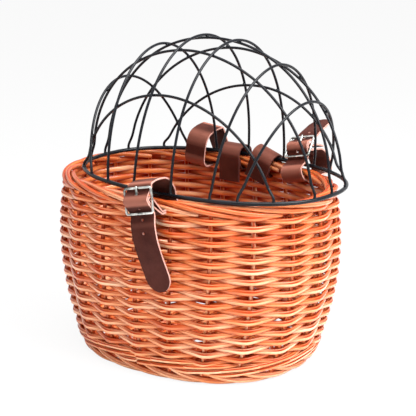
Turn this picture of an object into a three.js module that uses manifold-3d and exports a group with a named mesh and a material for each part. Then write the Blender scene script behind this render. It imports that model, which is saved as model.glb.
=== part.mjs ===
// A dog's bicycle basket: an oval willow basket, a hinged wire dome over it, and leather straps
// with buckles. Millimetres. +X is to the right along the basket, -Y is the front with the closing
// strap, +Y is the back with the hinge straps and the handlebar straps, and +Z is up. The origin is
// the middle of the base, at the height of the surface that the basket stands on.

import * as THREE from "three";
import { mergeVertices } from "three/addons/utils/BufferGeometryUtils.js";
import Module from "manifold-3d";

const wasm = await Module();
wasm.setup();

// Clearances
const GAP = 0.3;
const OVERRUN = 6;

// Basket outline, as half lengths and half widths of an oval at three heights
const BASE_HALF_LENGTH = 177;
const BASE_HALF_WIDTH = 144.7;
const BELLY_HALF_LENGTH = 220;
const BELLY_HALF_WIDTH = 163.3;
const RIM_HALF_LENGTH = 216.5;
const RIM_HALF_WIDTH = 153.3;
const BELLY_HEIGHT = 138.6;
const RIM_HEIGHT = 268.6;
const OVAL_POWER = 2.33;
const OVAL_SEGMENTS = 56;

// Willow borders, waling bands and weave
const FOOT_BORDER_HEIGHT = 15;
const FOOT_BORDER_WIDTH = 16;
const LOWER_WALING_HEIGHT = 17;
const UPPER_WALING_HEIGHT = 19;
const WALING_THICKNESS = 11;
const WEAVE_THICKNESS = 7;
const RIM_BORDER_HEIGHT = 15;
const RIM_BORDER_WIDTH = 20;
const BORDER_CHAMFER = 4;
const SIDE_WEAVE_LEVELS = 6;
const WEAVE_ROW_COUNT = 27;
const WEAVE_RELIEF = 4.5;
const WEAVE_CROSSING_SHARE = 0.65;

// Stakes, which stand inside the weave
const STAKE_COUNT = 20;
const STAKE_DIAMETER = 6.5;
const STAKE_STEPS = SIDE_WEAVE_LEVELS;
const STAKE_END_CLEARANCE = 1;
const ROD_SIDES = 6;
const FRONT_STAKE_X = 6;

// Woven base and the sticks that it is woven on
const BASE_LIFT = 3;
const BASE_THICKNESS = 8;
const SHORT_STICK_DIAMETER = 9;
const LONG_STICK_DIAMETER = 4.5;
const LONG_STICK_PITCH = 9;
const SHORT_STICK_COUNT = 5;
const LONG_STICK_COUNT = 3;
const STICK_SPREAD_SHARE = 0.62;
const STICK_END_CLEARANCE = 4;

// Lid ring and the dome of wires on it
const RING_HALF_LENGTH = 209;
const RING_HALF_WIDTH = 138.5;
const RING_WIRE_DIAMETER = 6;
const RING_POWER = 2.3;
const DOME_TOP_POWER = 1.85;
const DOME_SIDE_POWER = 2.1;
const DOME_RISE = 204;
const DOME_WIRE_DIAMETER = 4;
const DOME_WIRE_STEPS = 26;
const DOME_SEARCH_STEPS = 40;
const LID_SHIFT_X = 23;
const LID_SHIFT_Y = 5;

// Where each wire's two feet stand, as a share of the ring's half length or half width, and how
// many degrees its arch leans towards the positive axis
const CROSS_WIRE_SHARES = [-0.65, -0.43, -0.165, 0.155, 0.45, 0.63];
const CROSS_WIRE_LEAN_ANGLES = [-14, -2, 4, 2, 7, 16];
const LONG_WIRE_SHARES = [-0.615, -0.25, 0.005, 0.33, 0.65];
const LONG_WIRE_LEAN_ANGLES = [-8, -4, 4, 6, 11];

// Leather straps
const STRAP_WIDTH = 38;
const CLOSING_STRAP_WIDTH = 44;
const LEATHER_THICKNESS = 2.6;
const LAYER_GAP = 0.5;
const SLIT_HEIGHT = 8;
const SLIT_SIDE_CLEARANCE = 1.5;
const STRAP_STATION_PITCH = 9;
const STRAP_STATION_ANGLE = 16;
const STRAP_FINE_STEP = 0.4;
const ROUND_END_SHARES = [0.35, 0.65, 0.88, 0.99];
const PUNCHED_HOLE_DIAMETER = 4;
const BAR_HOLE_PITCH = 17;
const BAR_HOLE_COUNT = 4;
const BAR_HOLE_FROM_TIP = 44;
const CLOSING_HOLE_PITCH = 18.5;
const CLOSING_HOLE_COUNT = 3;
const CLOSING_HOLE_FROM_TIP = 88;

// Buckles
const BUCKLE_HEIGHT = 39;
const BUCKLE_BAR = 3.4;
const BUCKLE_THICKNESS = 3;
const BUCKLE_CORNER = 5;
const BUCKLE_CORNER_STEPS = 3;
const BUCKLE_SIDE_CLEARANCE = 0.7;
const BEHIND_BAR_GAP = 2.3;
const PRONG_WIDTH = 4;
const PRONG_THICKNESS = 2.2;
const PRONG_LOOP_WALL = 1.5;
const PRONG_LOOP_STEPS = 12;
const PRONG_LOOP_CLEARANCE = 0.2;
const PRONG_OVERHANG = 1;
const PRONG_SLOT_CLEARANCE = 0.6;
const PRONG_PLAY_ANGLE = 15;
const PRONG_PLAY_STEPS = 3;
const BAR_FOLD_ANGLES = [90, 45, 0, -45, -90];

// Closing strap: its buckle stands off the wall, and its tail hangs down the wall
const CLOSING_BUCKLE_STANDOFF = 22;
const CLOSING_BUCKLE_ABOVE_SLIT = 22;
const CLOSING_SLACK = 20;
const CLOSING_ARCH_SHARES = [[0.07, 0.45], [0.26, 0.92], [0.5, 1.03], [0.82, 1]];
const CLOSING_FOLD_ANGLE = 50;
const CLOSING_TAIL = 114;
const CLOSING_BUCKLE_TILT_ANGLE = -7;
const CLOSING_TAIL_SHARES = [[-0.16, 0.14], [-0.2, 0.32], [-0.02, 0.55], [0.26, 0.78], [0.5, 1]];
const CHAPE_INSIDE = 2;

// Hinge straps: the free end hangs inside, and the other end laps behind it
const HINGE_SLACK = 2;
const HINGE_ARCH_SHARES = [[0.12, 0.65], [0.38, 0.98], [0.65, 0.98], [0.92, 0.55]];
const LEFT_HINGE_FREE_END = 20;
const RIGHT_HINGE_FREE_END = 12;

// Handlebar straps: loops that stand off the wall behind the rim
const BAR_LOOP_REACH = 40;
const LEFT_BUCKLE_BELOW_SLIT = 11;
const LEFT_TAIL = 48;
const LEFT_ARCH_UPWARD_SHARES = [[0.03, 0.48], [0.12, 0.8], [0.3, 0.98], [0.52, 1.06]];
const LEFT_ARCH_DOWNWARD_SHARES = [[0.58, 1.06], [0.63, 0.95], [0.72, 0.58]];
const LEFT_ARCH_SHARES = [...LEFT_ARCH_UPWARD_SHARES, ...LEFT_ARCH_DOWNWARD_SHARES];
const RIGHT_BUCKLE_TILT_ANGLE = 45;
const RIGHT_BUCKLE_ABOVE_RING = 25.6;
const RIGHT_BUCKLE_BEFORE_HINGE = 0.5;
const RIGHT_TAIL_REACH = 58;
const RIGHT_TAIL_RISE = 20;
const RIGHT_TAIL_SHARES = [[0.3, 0.35], [0.6, 0.62], [1, 1]];
const RIGHT_LOOP_SHARES = [[0.35, 0.05], [0.7, 0.15], [0.95, 0.5]];
const RIGHT_RETURN_SHARES = [[0.3, 0.8]];
const CHAPE_LENGTH = 30;
const BAR_LOOP_SLACK = 1.5;

// Where the five straps cross the rim, and how many degrees each one leans
const CLOSING_STRAP_X = 41;
const CLOSING_STRAP_LEAN_ANGLE = -13;
const LEFT_HINGE_STRAP_X = -35;
const RIGHT_HINGE_STRAP_X = 16;
const RIGHT_HINGE_STRAP_LEAN_ANGLE = 19;
const BAR_STRAP_PLACE_SHARE = 94 / 209;
const LEFT_BAR_STRAP_X = -BAR_STRAP_PLACE_SHARE * RING_HALF_LENGTH;
const LEFT_BAR_STRAP_LEAN_ANGLE = 5;
const RIGHT_BAR_STRAP_X = BAR_STRAP_PLACE_SHARE * RING_HALF_LENGTH;
const RIGHT_BAR_STRAP_LEAN_ANGLE = -12;
// How wide a stretch of wall a leaning handlebar strap lies on
const LEANING_STRAP_WIDTH = 46;

// Finishes
const willow = new THREE.MeshStandardMaterial({ color: 0xd8894f, roughness: 0.45, metalness: 0 });
const willowDark = new THREE.MeshStandardMaterial({ color: 0xb9652f, roughness: 0.5, metalness: 0 });
const blackWire = new THREE.MeshStandardMaterial({ color: 0x1a1c22, roughness: 0.35, metalness: 0.4 });
const leather = new THREE.MeshStandardMaterial({ color: 0x7d4238, roughness: 0.6, metalness: 0 });
const nickel = new THREE.MeshStandardMaterial({ color: 0xc9cbc8, roughness: 0.25, metalness: 1 });

const basket = new THREE.Group();

function addPiece(name, geometry, material, parent = basket) {
  const mesh = new THREE.Mesh(geometry, material);
  mesh.name = name;
  parent.add(mesh);
  return mesh;
}

// Solids for cutting

function toSolid(geometry) {
  const bare = geometry.clone();
  bare.deleteAttribute("normal");
  bare.deleteAttribute("uv");
  const merged = mergeVertices(bare);
  return new wasm.Manifold(
    new wasm.Mesh({
      numProp: 3,
      vertProperties: new Float32Array(merged.attributes.position.array),
      triVerts: new Uint32Array(merged.index.array),
    }),
  );
}

function toGeometry(solid) {
  const mesh = solid.getMesh();
  const geometry = new THREE.BufferGeometry();
  geometry.setAttribute("position", new THREE.BufferAttribute(mesh.vertProperties, mesh.numProp));
  geometry.setIndex(new THREE.BufferAttribute(mesh.triVerts, 1));
  geometry.computeVertexNormals();
  return geometry;
}

function cutAway(geometry, cutters) {
  let solid = toSolid(geometry);
  for (const cutter of cutters) {
    solid = solid.subtract(toSolid(cutter));
  }
  return toGeometry(solid);
}

// The basket's oval outline

function throughThree(z, atBase, atBelly, atRim) {
  const base = ((z - BELLY_HEIGHT) * (z - RIM_HEIGHT)) / (BELLY_HEIGHT * RIM_HEIGHT);
  const belly = (z * (RIM_HEIGHT - z)) / (BELLY_HEIGHT * (RIM_HEIGHT - BELLY_HEIGHT));
  const rim = (z * (z - BELLY_HEIGHT)) / (RIM_HEIGHT * (RIM_HEIGHT - BELLY_HEIGHT));
  return atBase * base + atBelly * belly + atRim * rim;
}

const halfLengthAt = (z) => throughThree(z, BASE_HALF_LENGTH, BELLY_HALF_LENGTH, RIM_HALF_LENGTH);
const halfWidthAt = (z) => throughThree(z, BASE_HALF_WIDTH, BELLY_HALF_WIDTH, RIM_HALF_WIDTH);

function ovalPoint(halfLength, halfWidth, power, angle) {
  const bend = (value) => Math.sign(value) * Math.abs(value) ** (2 / power);
  return new THREE.Vector2(halfLength * bend(Math.cos(angle)), halfWidth * bend(Math.sin(angle)));
}

// Angles that are evenly spaced along the belly's outline, from the stake near the front's middle
function evenAngles(count) {
  const fine = OVAL_SEGMENTS * OVAL_SEGMENTS;
  const angleOf = (i) => (i / fine) * 2 * Math.PI - Math.PI / 2;
  const at = (i) => ovalPoint(BELLY_HALF_LENGTH, BELLY_HALF_WIDTH, OVAL_POWER, angleOf(i));
  const run = [0];
  for (let i = 1; i <= fine; i++) {
    run.push(run[i - 1] + at(i).distanceTo(at(i - 1)));
  }
  return Array.from({ length: count }, (_, n) => {
    const wanted = FRONT_STAKE_X + (n / count) * run[fine];
    return angleOf(run.findIndex((length) => length >= wanted));
  });
}

// Half the oval's width where it crosses x
function ovalWidthAt(halfLength, halfWidth, power, x) {
  return halfWidth * (1 - Math.abs(x / halfLength) ** power) ** (1 / power);
}

function wallWidthAt(z, inset, x) {
  return ovalWidthAt(halfLengthAt(z) - inset, halfWidthAt(z) - inset, OVAL_POWER, x);
}

// A closed ring swept round an oval: sections[i] is the list of points of one section
function ringOf(sections) {
  const sides = sections[0].length;
  const positions = sections.flat().flatMap((point) => [point.x, point.y, point.z]);
  const faces = [];
  for (let i = 0; i < sections.length; i++) {
    const here = i * sides;
    const next = ((i + 1) % sections.length) * sides;
    for (let j = 0; j < sides; j++) {
      const k = (j + 1) % sides;
      faces.push(here + j, next + j, next + k, here + j, next + k, here + k);
    }
  }
  const geometry = new THREE.BufferGeometry();
  geometry.setAttribute("position", new THREE.Float32BufferAttribute(positions, 3));
  geometry.setIndex(faces);
  geometry.computeVertexNormals();
  return geometry;
}

// A band of the basket's wall. Each corner of its section is an inset from the outer face and a
// height, and may take the outline of another level, which stands the face upright.
function wallBand(corners) {
  const sections = [];
  for (let i = 0; i < OVAL_SEGMENTS; i++) {
    const angle = (i / OVAL_SEGMENTS) * 2 * Math.PI;
    sections.push(
      corners.map(({ inset, z, level = z }) => {
        const at = ovalPoint(halfLengthAt(level) - inset, halfWidthAt(level) - inset, OVAL_POWER, angle);
        return new THREE.Vector3(at.x, at.y, z);
      }),
    );
  }
  return ringOf(sections);
}

// A rod of round section along a path
function rodAlong(path, diameter, steps, sides = ROD_SIDES) {
  const section = new THREE.Shape();
  for (let i = 0; i < sides; i++) {
    const angle = (i / sides) * 2 * Math.PI;
    const x = (diameter / 2) * Math.cos(angle);
    const y = (diameter / 2) * Math.sin(angle);
    if (i === 0) section.moveTo(x, y);
    else section.lineTo(x, y);
  }
  section.closePath();
  return new THREE.ExtrudeGeometry(section, { steps, extrudePath: path, bevelEnabled: false });
}

// Heights of the wall's bands, from the foot up
const lowerWalingBottom = FOOT_BORDER_HEIGHT + GAP;
const sideWeaveBottom = lowerWalingBottom + LOWER_WALING_HEIGHT + GAP;
const rimBorderBottom = RIM_HEIGHT - RIM_BORDER_HEIGHT;
const upperWalingTop = rimBorderBottom - GAP;
const upperWalingBottom = upperWalingTop - UPPER_WALING_HEIGHT;
const sideWeaveTop = upperWalingBottom - GAP;

// Height of the middle of the slits that the straps go through, just under the rim's border
const slitZ = upperWalingTop - SLIT_HEIGHT / 2;

// Straps are drawn in a plane of their own, where out is the distance from the basket's long
// middle plane and up is the height, and are then leant about the point where they cross the rim.
function strapFrame(x, lean, side, width) {
  const group = new THREE.Group();
  group.position.set(x, 0, slitZ);
  group.rotation.y = THREE.MathUtils.degToRad(lean);
  basket.add(group);
  group.userData = { side, width };
  return group;
}

const closingFrame = strapFrame(CLOSING_STRAP_X, CLOSING_STRAP_LEAN_ANGLE, -1, CLOSING_STRAP_WIDTH);
const leftHingeFrame = strapFrame(LEFT_HINGE_STRAP_X, 0, 1, STRAP_WIDTH);
const rightHingeFrame = strapFrame(
  RIGHT_HINGE_STRAP_X,
  RIGHT_HINGE_STRAP_LEAN_ANGLE,
  1,
  STRAP_WIDTH,
);
const leftBarFrame = strapFrame(LEFT_BAR_STRAP_X, LEFT_BAR_STRAP_LEAN_ANGLE, 1, STRAP_WIDTH);
const rightBarFrame = strapFrame(RIGHT_BAR_STRAP_X, RIGHT_BAR_STRAP_LEAN_ANGLE, 1, STRAP_WIDTH);

// The slit that a strap needs in the wall
function slitFor(frame) {
  const width = frame.userData.width + 2 * SLIT_SIDE_CLEARANCE;
  const depth = BELLY_HALF_WIDTH;
  const slit = new THREE.BoxGeometry(width, depth, SLIT_HEIGHT);
  slit.translate(0, frame.userData.side * (halfWidthAt(slitZ) - depth / 2 + OVERRUN), 0);
  frame.updateMatrix();
  return slit.applyMatrix4(frame.matrix);
}

const slits = [closingFrame, leftHingeFrame, rightHingeFrame, leftBarFrame, rightBarFrame].map(slitFor);

// Borders, waling bands and side weave

const squareBand = (bottom, top, thickness) => [
  { inset: 0, z: bottom },
  { inset: 0, z: top },
  { inset: thickness, z: top },
  { inset: thickness, z: bottom },
];

addPiece(
  "foot_border",
  wallBand([
    { inset: BORDER_CHAMFER, z: 0, level: 0 },
    { inset: 0, z: BORDER_CHAMFER },
    { inset: 0, z: FOOT_BORDER_HEIGHT },
    { inset: FOOT_BORDER_WIDTH, z: FOOT_BORDER_HEIGHT, level: 0 },
    { inset: FOOT_BORDER_WIDTH, z: 0, level: 0 },
  ]),
  willowDark,
);

addPiece(
  "lower_waling",
  wallBand(squareBand(lowerWalingBottom, lowerWalingBottom + LOWER_WALING_HEIGHT, WALING_THICKNESS)),
  willow,
);

// The side weave's outer face stands out where a row passes in front of a stake, and sinks where it
// passes behind, so it has a column of points at every stake and one between each two.
function sideWeave() {
  const height = sideWeaveTop - sideWeaveBottom;
  const rows = Array.from({ length: WEAVE_ROW_COUNT }, (_, row) => row);
  const levels = Array.from({ length: SIDE_WEAVE_LEVELS + 1 }, (_, i) => i / SIDE_WEAVE_LEVELS);
  const crossing = WEAVE_RELIEF * WEAVE_CROSSING_SHARE;
  const sections = evenAngles(2 * STAKE_COUNT).map((angle, column) => {
    const reliefOf = (row) => {
      if (column % 2 === 1) return crossing;
      return (row + column / 2) % 2 === 0 ? 0 : WEAVE_RELIEF;
    };
    const outer = rows.map((row) => [reliefOf(row), (row + 0.5) / WEAVE_ROW_COUNT]);
    const inner = levels.map((share) => [WEAVE_THICKNESS, share]).reverse();
    return [[crossing, 0], ...outer, [crossing, 1], ...inner].map(([inset, share]) => {
      const z = sideWeaveBottom + share * height;
      const at = ovalPoint(halfLengthAt(z) - inset, halfWidthAt(z) - inset, OVAL_POWER, angle);
      return new THREE.Vector3(at.x, at.y, z);
    });
  });
  return ringOf(sections);
}

addPiece("side_weave", sideWeave(), willow);

addPiece(
  "upper_waling",
  cutAway(wallBand(squareBand(upperWalingBottom, upperWalingTop, WALING_THICKNESS)), slits),
  willow,
);

addPiece(
  "rim_border",
  cutAway(
    wallBand([
      { inset: BORDER_CHAMFER, z: rimBorderBottom, level: rimBorderBottom },
      { inset: 0, z: rimBorderBottom + BORDER_CHAMFER, level: RIM_HEIGHT },
      { inset: 0, z: RIM_HEIGHT - BORDER_CHAMFER, level: RIM_HEIGHT },
      { inset: BORDER_CHAMFER, z: RIM_HEIGHT },
      { inset: RIM_BORDER_WIDTH - BORDER_CHAMFER, z: RIM_HEIGHT },
      { inset: RIM_BORDER_WIDTH, z: RIM_HEIGHT - BORDER_CHAMFER, level: RIM_HEIGHT },
      { inset: RIM_BORDER_WIDTH, z: rimBorderBottom + BORDER_CHAMFER, level: RIM_HEIGHT },
      { inset: RIM_BORDER_WIDTH - BORDER_CHAMFER, z: rimBorderBottom, level: RIM_HEIGHT },
    ]),
    slits,
  ),
  willowDark,
);

// Woven base: a plate inside the foot border, on short sticks that the long sticks pierce

const baseHalfLength = BASE_HALF_LENGTH - FOOT_BORDER_WIDTH - GAP;
const baseHalfWidth = BASE_HALF_WIDTH - FOOT_BORDER_WIDTH - GAP;

function basePlate() {
  const outline = [];
  for (let i = 0; i < OVAL_SEGMENTS; i++) {
    outline.push(ovalPoint(baseHalfLength, baseHalfWidth, OVAL_POWER, (i / OVAL_SEGMENTS) * 2 * Math.PI));
  }
  const plate = new THREE.ExtrudeGeometry(new THREE.Shape(outline), {
    depth: BASE_THICKNESS,
    bevelEnabled: false,
  });
  return plate.translate(0, 0, BASE_LIFT);
}

addPiece("base_weave", basePlate(), willow);

const stickZ = BASE_LIFT + BASE_THICKNESS + GAP + SHORT_STICK_DIAMETER / 2;

function straightRod(from, to, diameter) {
  return rodAlong(new THREE.LineCurve3(from, to), diameter, 1, 2 * ROD_SIDES);
}

// Places spread evenly about zero
const spread = (count, pitch) => Array.from({ length: count }, (_, i) => (i - (count - 1) / 2) * pitch);

const shortStickPitch = (2 * baseHalfLength * STICK_SPREAD_SHARE) / (SHORT_STICK_COUNT - 1);
const longStickPlaces = spread(LONG_STICK_COUNT, LONG_STICK_PITCH);

longStickPlaces.forEach((y, i) => {
  const reach = ovalWidthAt(baseHalfWidth, baseHalfLength, OVAL_POWER, y) - STICK_END_CLEARANCE;
  const from = new THREE.Vector3(-reach, y, stickZ);
  const to = new THREE.Vector3(reach, y, stickZ);
  addPiece(`long_base_stick_${i + 1}`, straightRod(from, to, LONG_STICK_DIAMETER), willowDark);
});

spread(SHORT_STICK_COUNT, shortStickPitch).forEach((x, i) => {
  const reach = ovalWidthAt(baseHalfLength, baseHalfWidth, OVAL_POWER, x) - STICK_END_CLEARANCE;
  const stick = straightRod(
    new THREE.Vector3(x, -reach, stickZ),
    new THREE.Vector3(x, reach, stickZ),
    SHORT_STICK_DIAMETER,
  );
  const holes = longStickPlaces.map((y) =>
    straightRod(
      new THREE.Vector3(x - SHORT_STICK_DIAMETER, y, stickZ),
      new THREE.Vector3(x + SHORT_STICK_DIAMETER, y, stickZ),
      LONG_STICK_DIAMETER + 2 * GAP,
    ),
  );
  addPiece(`short_base_stick_${i + 1}`, cutAway(stick, holes), willowDark);
});

// Stakes, evenly spaced along the belly's outline

const stakeBottom = sideWeaveBottom + STAKE_END_CLEARANCE;
const stakeTop = sideWeaveTop - STAKE_END_CLEARANCE;

evenAngles(STAKE_COUNT).forEach((angle, n) => {
  const inset = WEAVE_THICKNESS + GAP + STAKE_DIAMETER / 2;
  const points = [];
  for (let i = 0; i <= STAKE_STEPS; i++) {
    const z = stakeBottom + (i / STAKE_STEPS) * (stakeTop - stakeBottom);
    const at = ovalPoint(halfLengthAt(z) - inset, halfWidthAt(z) - inset, OVAL_POWER, angle);
    points.push(new THREE.Vector3(at.x, at.y, z));
  }
  const number = String(n + 1).padStart(2, "0");
  const path = new THREE.CatmullRomCurve3(points);
  addPiece(`stake_${number}`, rodAlong(path, STAKE_DIAMETER, STAKE_STEPS), willowDark);
});

// Lid: an oval ring of thick wire, and a dome of thin wires that stand on it

const ringZ = RIM_HEIGHT + GAP + RING_WIRE_DIAMETER / 2;
const lid = new THREE.Group();
lid.position.set(LID_SHIFT_X, LID_SHIFT_Y, ringZ);
basket.add(lid);

function lidRing() {
  const sections = [];
  for (let i = 0; i < OVAL_SEGMENTS; i++) {
    const angle = (i / OVAL_SEGMENTS) * 2 * Math.PI;
    const section = [];
    for (let j = 0; j < ROD_SIDES; j++) {
      const turn = (j / ROD_SIDES) * 2 * Math.PI;
      const grow = (RING_WIRE_DIAMETER / 2) * Math.cos(turn);
      const at = ovalPoint(RING_HALF_LENGTH + grow, RING_HALF_WIDTH + grow, RING_POWER, angle);
      section.push(new THREE.Vector3(at.x, at.y, (RING_WIRE_DIAMETER / 2) * Math.sin(turn)));
    }
    sections.push(section);
  }
  return ringOf(sections);
}

addPiece("lid_ring", lidRing(), blackWire, lid);

// How far outside the dome a point is: below zero inside, above zero outside. grow moves the
// whole surface out, and the corners of the outline grow rounder towards the top.
function outsideDome(point, grow) {
  const rise = DOME_RISE + grow;
  const climb = THREE.MathUtils.clamp(point.z / rise, 0, 1);
  const power = RING_POWER + (DOME_TOP_POWER - RING_POWER) * climb;
  const across =
    Math.abs(point.x / (RING_HALF_LENGTH + grow)) ** power +
    Math.abs(point.y / (RING_HALF_WIDTH + grow)) ** power;
  return across ** (DOME_SIDE_POWER / power) + Math.abs(point.z / rise) ** DOME_SIDE_POWER - 1;
}

// The point where a ray from inside the dome meets its surface, found by halving
function onDome(from, direction, grow) {
  let near = 0;
  let far = 2 * RING_HALF_LENGTH;
  for (let i = 0; i < DOME_SEARCH_STEPS; i++) {
    const middle = (near + far) / 2;
    if (outsideDome(from.clone().addScaledVector(direction, middle), grow) < 0) near = middle;
    else far = middle;
  }
  return from.clone().addScaledVector(direction, near);
}

// The point of the ring's middle line that lies straight out from a point at the dome's foot
function outToRing(point) {
  const steepness = (value, half) =>
    (Math.sign(value) * Math.abs(value / half) ** (RING_POWER - 1)) / half;
  const outwards = new THREE.Vector3(
    steepness(point.x, RING_HALF_LENGTH),
    steepness(point.y, RING_HALF_WIDTH),
    0,
  );
  return onDome(point, outwards.normalize(), 0);
}

// A wire's arch lies in a plane through its two feet, which leans from the upright.
function domeWire(place, lean, along, leansTo, grow) {
  const tilt = THREE.MathUtils.degToRad(lean);
  const upwards = new THREE.Vector3(0, 0, Math.cos(tilt)).addScaledVector(leansTo, Math.sin(tilt));
  const footHeight = RING_WIRE_DIAMETER / 2 + GAP;
  const middle = leansTo.clone().multiplyScalar(place);
  const points = [];
  for (let i = 0; i <= DOME_WIRE_STEPS; i++) {
    const turn = (i / DOME_WIRE_STEPS) * Math.PI;
    const direction = along.clone().multiplyScalar(Math.cos(turn)).addScaledVector(upwards, Math.sin(turn));
    const point = onDome(middle, direction, grow);
    if (point.z > footHeight + 3 * DOME_WIRE_DIAMETER) points.push(point);
  }
  for (const side of [1, -1]) {
    const foot = outToRing(onDome(middle, along.clone().multiplyScalar(side), grow));
    foot.z = footHeight;
    const ankle = foot.clone().setZ(footHeight + DOME_WIRE_DIAMETER);
    if (side > 0) points.unshift(foot, ankle);
    else points.push(ankle, foot);
  }
  const path = new THREE.CatmullRomCurve3(points, false, "centripetal");
  return rodAlong(path, DOME_WIRE_DIAMETER, DOME_WIRE_STEPS);
}

const alongX = new THREE.Vector3(1, 0, 0);
const alongY = new THREE.Vector3(0, 1, 0);
const alongZ = new THREE.Vector3(0, 0, 1);

CROSS_WIRE_SHARES.forEach((share, i) => {
  const wire = domeWire(share * RING_HALF_LENGTH, CROSS_WIRE_LEAN_ANGLES[i], alongY, alongX, 0);
  addPiece(`cross_wire_${i + 1}`, wire, blackWire, lid);
});

// The long wires run under the cross wires, so their surface is one wire further in.
const underCross = -(DOME_WIRE_DIAMETER + GAP);
LONG_WIRE_SHARES.forEach((share, i) => {
  const wire = domeWire(share * RING_HALF_WIDTH, LONG_WIRE_LEAN_ANGLES[i], alongX, alongY, underCross);
  addPiece(`long_wire_${i + 1}`, wire, blackWire, lid);
});

// Leather straps. A strap follows places written as [out, up] in its own plane.

const barReach = (BUCKLE_HEIGHT - BUCKLE_BAR) / 2;
const behindBar = -(BUCKLE_THICKNESS / 2 + BEHIND_BAR_GAP + LEATHER_THICKNESS / 2);
const barCorner = Math.hypot(BUCKLE_BAR / 2, BUCKLE_THICKNESS / 2);
const foldRadius = barCorner + LAYER_GAP + LEATHER_THICKNESS / 2;
const overFold = foldRadius + LEATHER_THICKNESS + LAYER_GAP;
const layerStep = LEATHER_THICKNESS + LAYER_GAP;

// A buckle in a strap's plane: tilt turns its top outwards, and front is 1 where the prong's side
// faces away from the basket, or -1 where it faces in.
function buckleAt(out, up, tilt, front) {
  const turn = THREE.MathUtils.degToRad(tilt);
  const place = (normal, along) => [
    out + normal * front * Math.cos(turn) + along * Math.sin(turn),
    up - normal * front * Math.sin(turn) + along * Math.cos(turn),
  ];
  return { out, up, turn, front, place };
}

// The places of a fold round the middle bar, from its upper side to its lower side. The fold faces
// forwards, or is turned up.
function foldPlaces({ place }, turnedUp = 0) {
  return BAR_FOLD_ANGLES.map((angle) => {
    const turn = THREE.MathUtils.degToRad(angle + turnedUp);
    return place(foldRadius * Math.cos(turn), foldRadius * Math.sin(turn));
  });
}

// The places where the free end goes behind the top bar, over the fold and behind the bottom bar
function threadPlaces({ place }) {
  return [place(behindBar, barReach), place(overFold, 0), place(behindBar, -barReach)];
}

function arch(from, to, rise, shares) {
  return shares.map(([across, up]) => [from[0] + across * (to[0] - from[0]), from[1] + up * rise]);
}

function strapPath(frame, places) {
  const { side } = frame.userData;
  const points = places.map(([out, up]) => new THREE.Vector3(0, side * out, up - slitZ));
  const path = new THREE.CatmullRomCurve3(points, false, "centripetal");
  path.arcLengthDivisions = Math.ceil(path.getLength() / STRAP_FINE_STEP);
  path.updateArcLengths();
  return path;
}

// How far along a strap its sections stand: close together where it bends
function strapRuns(path, straight, length) {
  const fine = Math.ceil(straight / STRAP_FINE_STEP);
  const bend = THREE.MathUtils.degToRad(STRAP_STATION_ANGLE);
  const runs = [0];
  let lastRun = 0;
  let last = path.getTangentAt(0);
  for (let i = 1; i < fine; i++) {
    const run = (i / fine) * straight;
    const tangent = path.getTangentAt(run / length);
    if (tangent.angleTo(last) > bend || run - lastRun > STRAP_STATION_PITCH) {
      runs.push(run);
      lastRun = run;
      last = tangent;
    }
  }
  return [...runs, straight];
}

// A flat strap along a path, with a rounded end where the path ends, if roundEnd says so
function strapAlong(path, width, roundEnd) {
  const half = width / 2;
  const length = path.getLength();
  const straight = roundEnd ? length - half : length;
  const runs = strapRuns(path, straight, length);
  if (roundEnd) runs.push(...ROUND_END_SHARES.map((share) => straight + share * half));
  const positions = [];
  for (const run of runs) {
    const at = path.getPointAt(run / length);
    const tangent = path.getTangentAt(run / length);
    const thick = new THREE.Vector3(0, -tangent.z, tangent.y).multiplyScalar(LEATHER_THICKNESS / 2);
    const past = Math.max(0, run - straight);
    const across = new THREE.Vector3(Math.sqrt(half * half - past * past), 0, 0);
    for (const [x, y] of [[-1, 1], [1, 1], [1, -1], [-1, -1]]) {
      positions.push(...at.clone().addScaledVector(across, x).addScaledVector(thick, y).toArray());
    }
  }
  const faces = [];
  const last = 4 * (runs.length - 1);
  for (let here = 0; here < last; here += 4) {
    for (let j = 0; j < 4; j++) {
      const k = (j + 1) % 4;
      faces.push(here + j, here + k, here + 4 + k, here + j, here + 4 + k, here + 4 + j);
    }
  }
  faces.push(0, 3, 2, 0, 2, 1);
  faces.push(last, last + 1, last + 2, last, last + 2, last + 3);
  const geometry = new THREE.BufferGeometry();
  geometry.setAttribute("position", new THREE.Float32BufferAttribute(positions, 3));
  geometry.setIndex(faces);
  return geometry;
}

// The holes punched along a strap's free end
function punchedHoles(path, fromTip, pitch, count) {
  const length = path.getLength();
  return Array.from({ length: count }, (_, i) => {
    const u = (length - fromTip - i * pitch) / length;
    const tangent = path.getTangentAt(u);
    const radius = PUNCHED_HOLE_DIAMETER / 2;
    const punch = new THREE.CylinderGeometry(radius, radius, 2 * LEATHER_THICKNESS, ROD_SIDES);
    const thick = new THREE.Vector3(0, -tangent.z, tangent.y);
    punch.applyQuaternion(new THREE.Quaternion().setFromUnitVectors(alongY, thick));
    return punch.translate(...path.getPointAt(u).toArray());
  });
}

// Buckles, drawn with X along the bars, Z up the strap and Y through the frame

const prongLoop = barCorner + PRONG_LOOP_CLEARANCE + PRONG_LOOP_WALL;
const prongBack = BUCKLE_THICKNESS / 2 + GAP;
const prongFront = prongBack + PRONG_THICKNESS;
const prongTip = barReach + BUCKLE_BAR / 2 + PRONG_OVERHANG;

function roundedOutline(shape, left, bottom, right, top, radius) {
  shape.moveTo(left + radius, bottom);
  shape.lineTo(right - radius, bottom);
  shape.absarc(right - radius, bottom + radius, radius, -Math.PI / 2, 0);
  shape.absarc(right - radius, top - radius, radius, 0, Math.PI / 2);
  shape.absarc(left + radius, top - radius, radius, Math.PI / 2, Math.PI);
  shape.absarc(left + radius, bottom + radius, radius, Math.PI, 1.5 * Math.PI);
  return shape;
}

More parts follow.
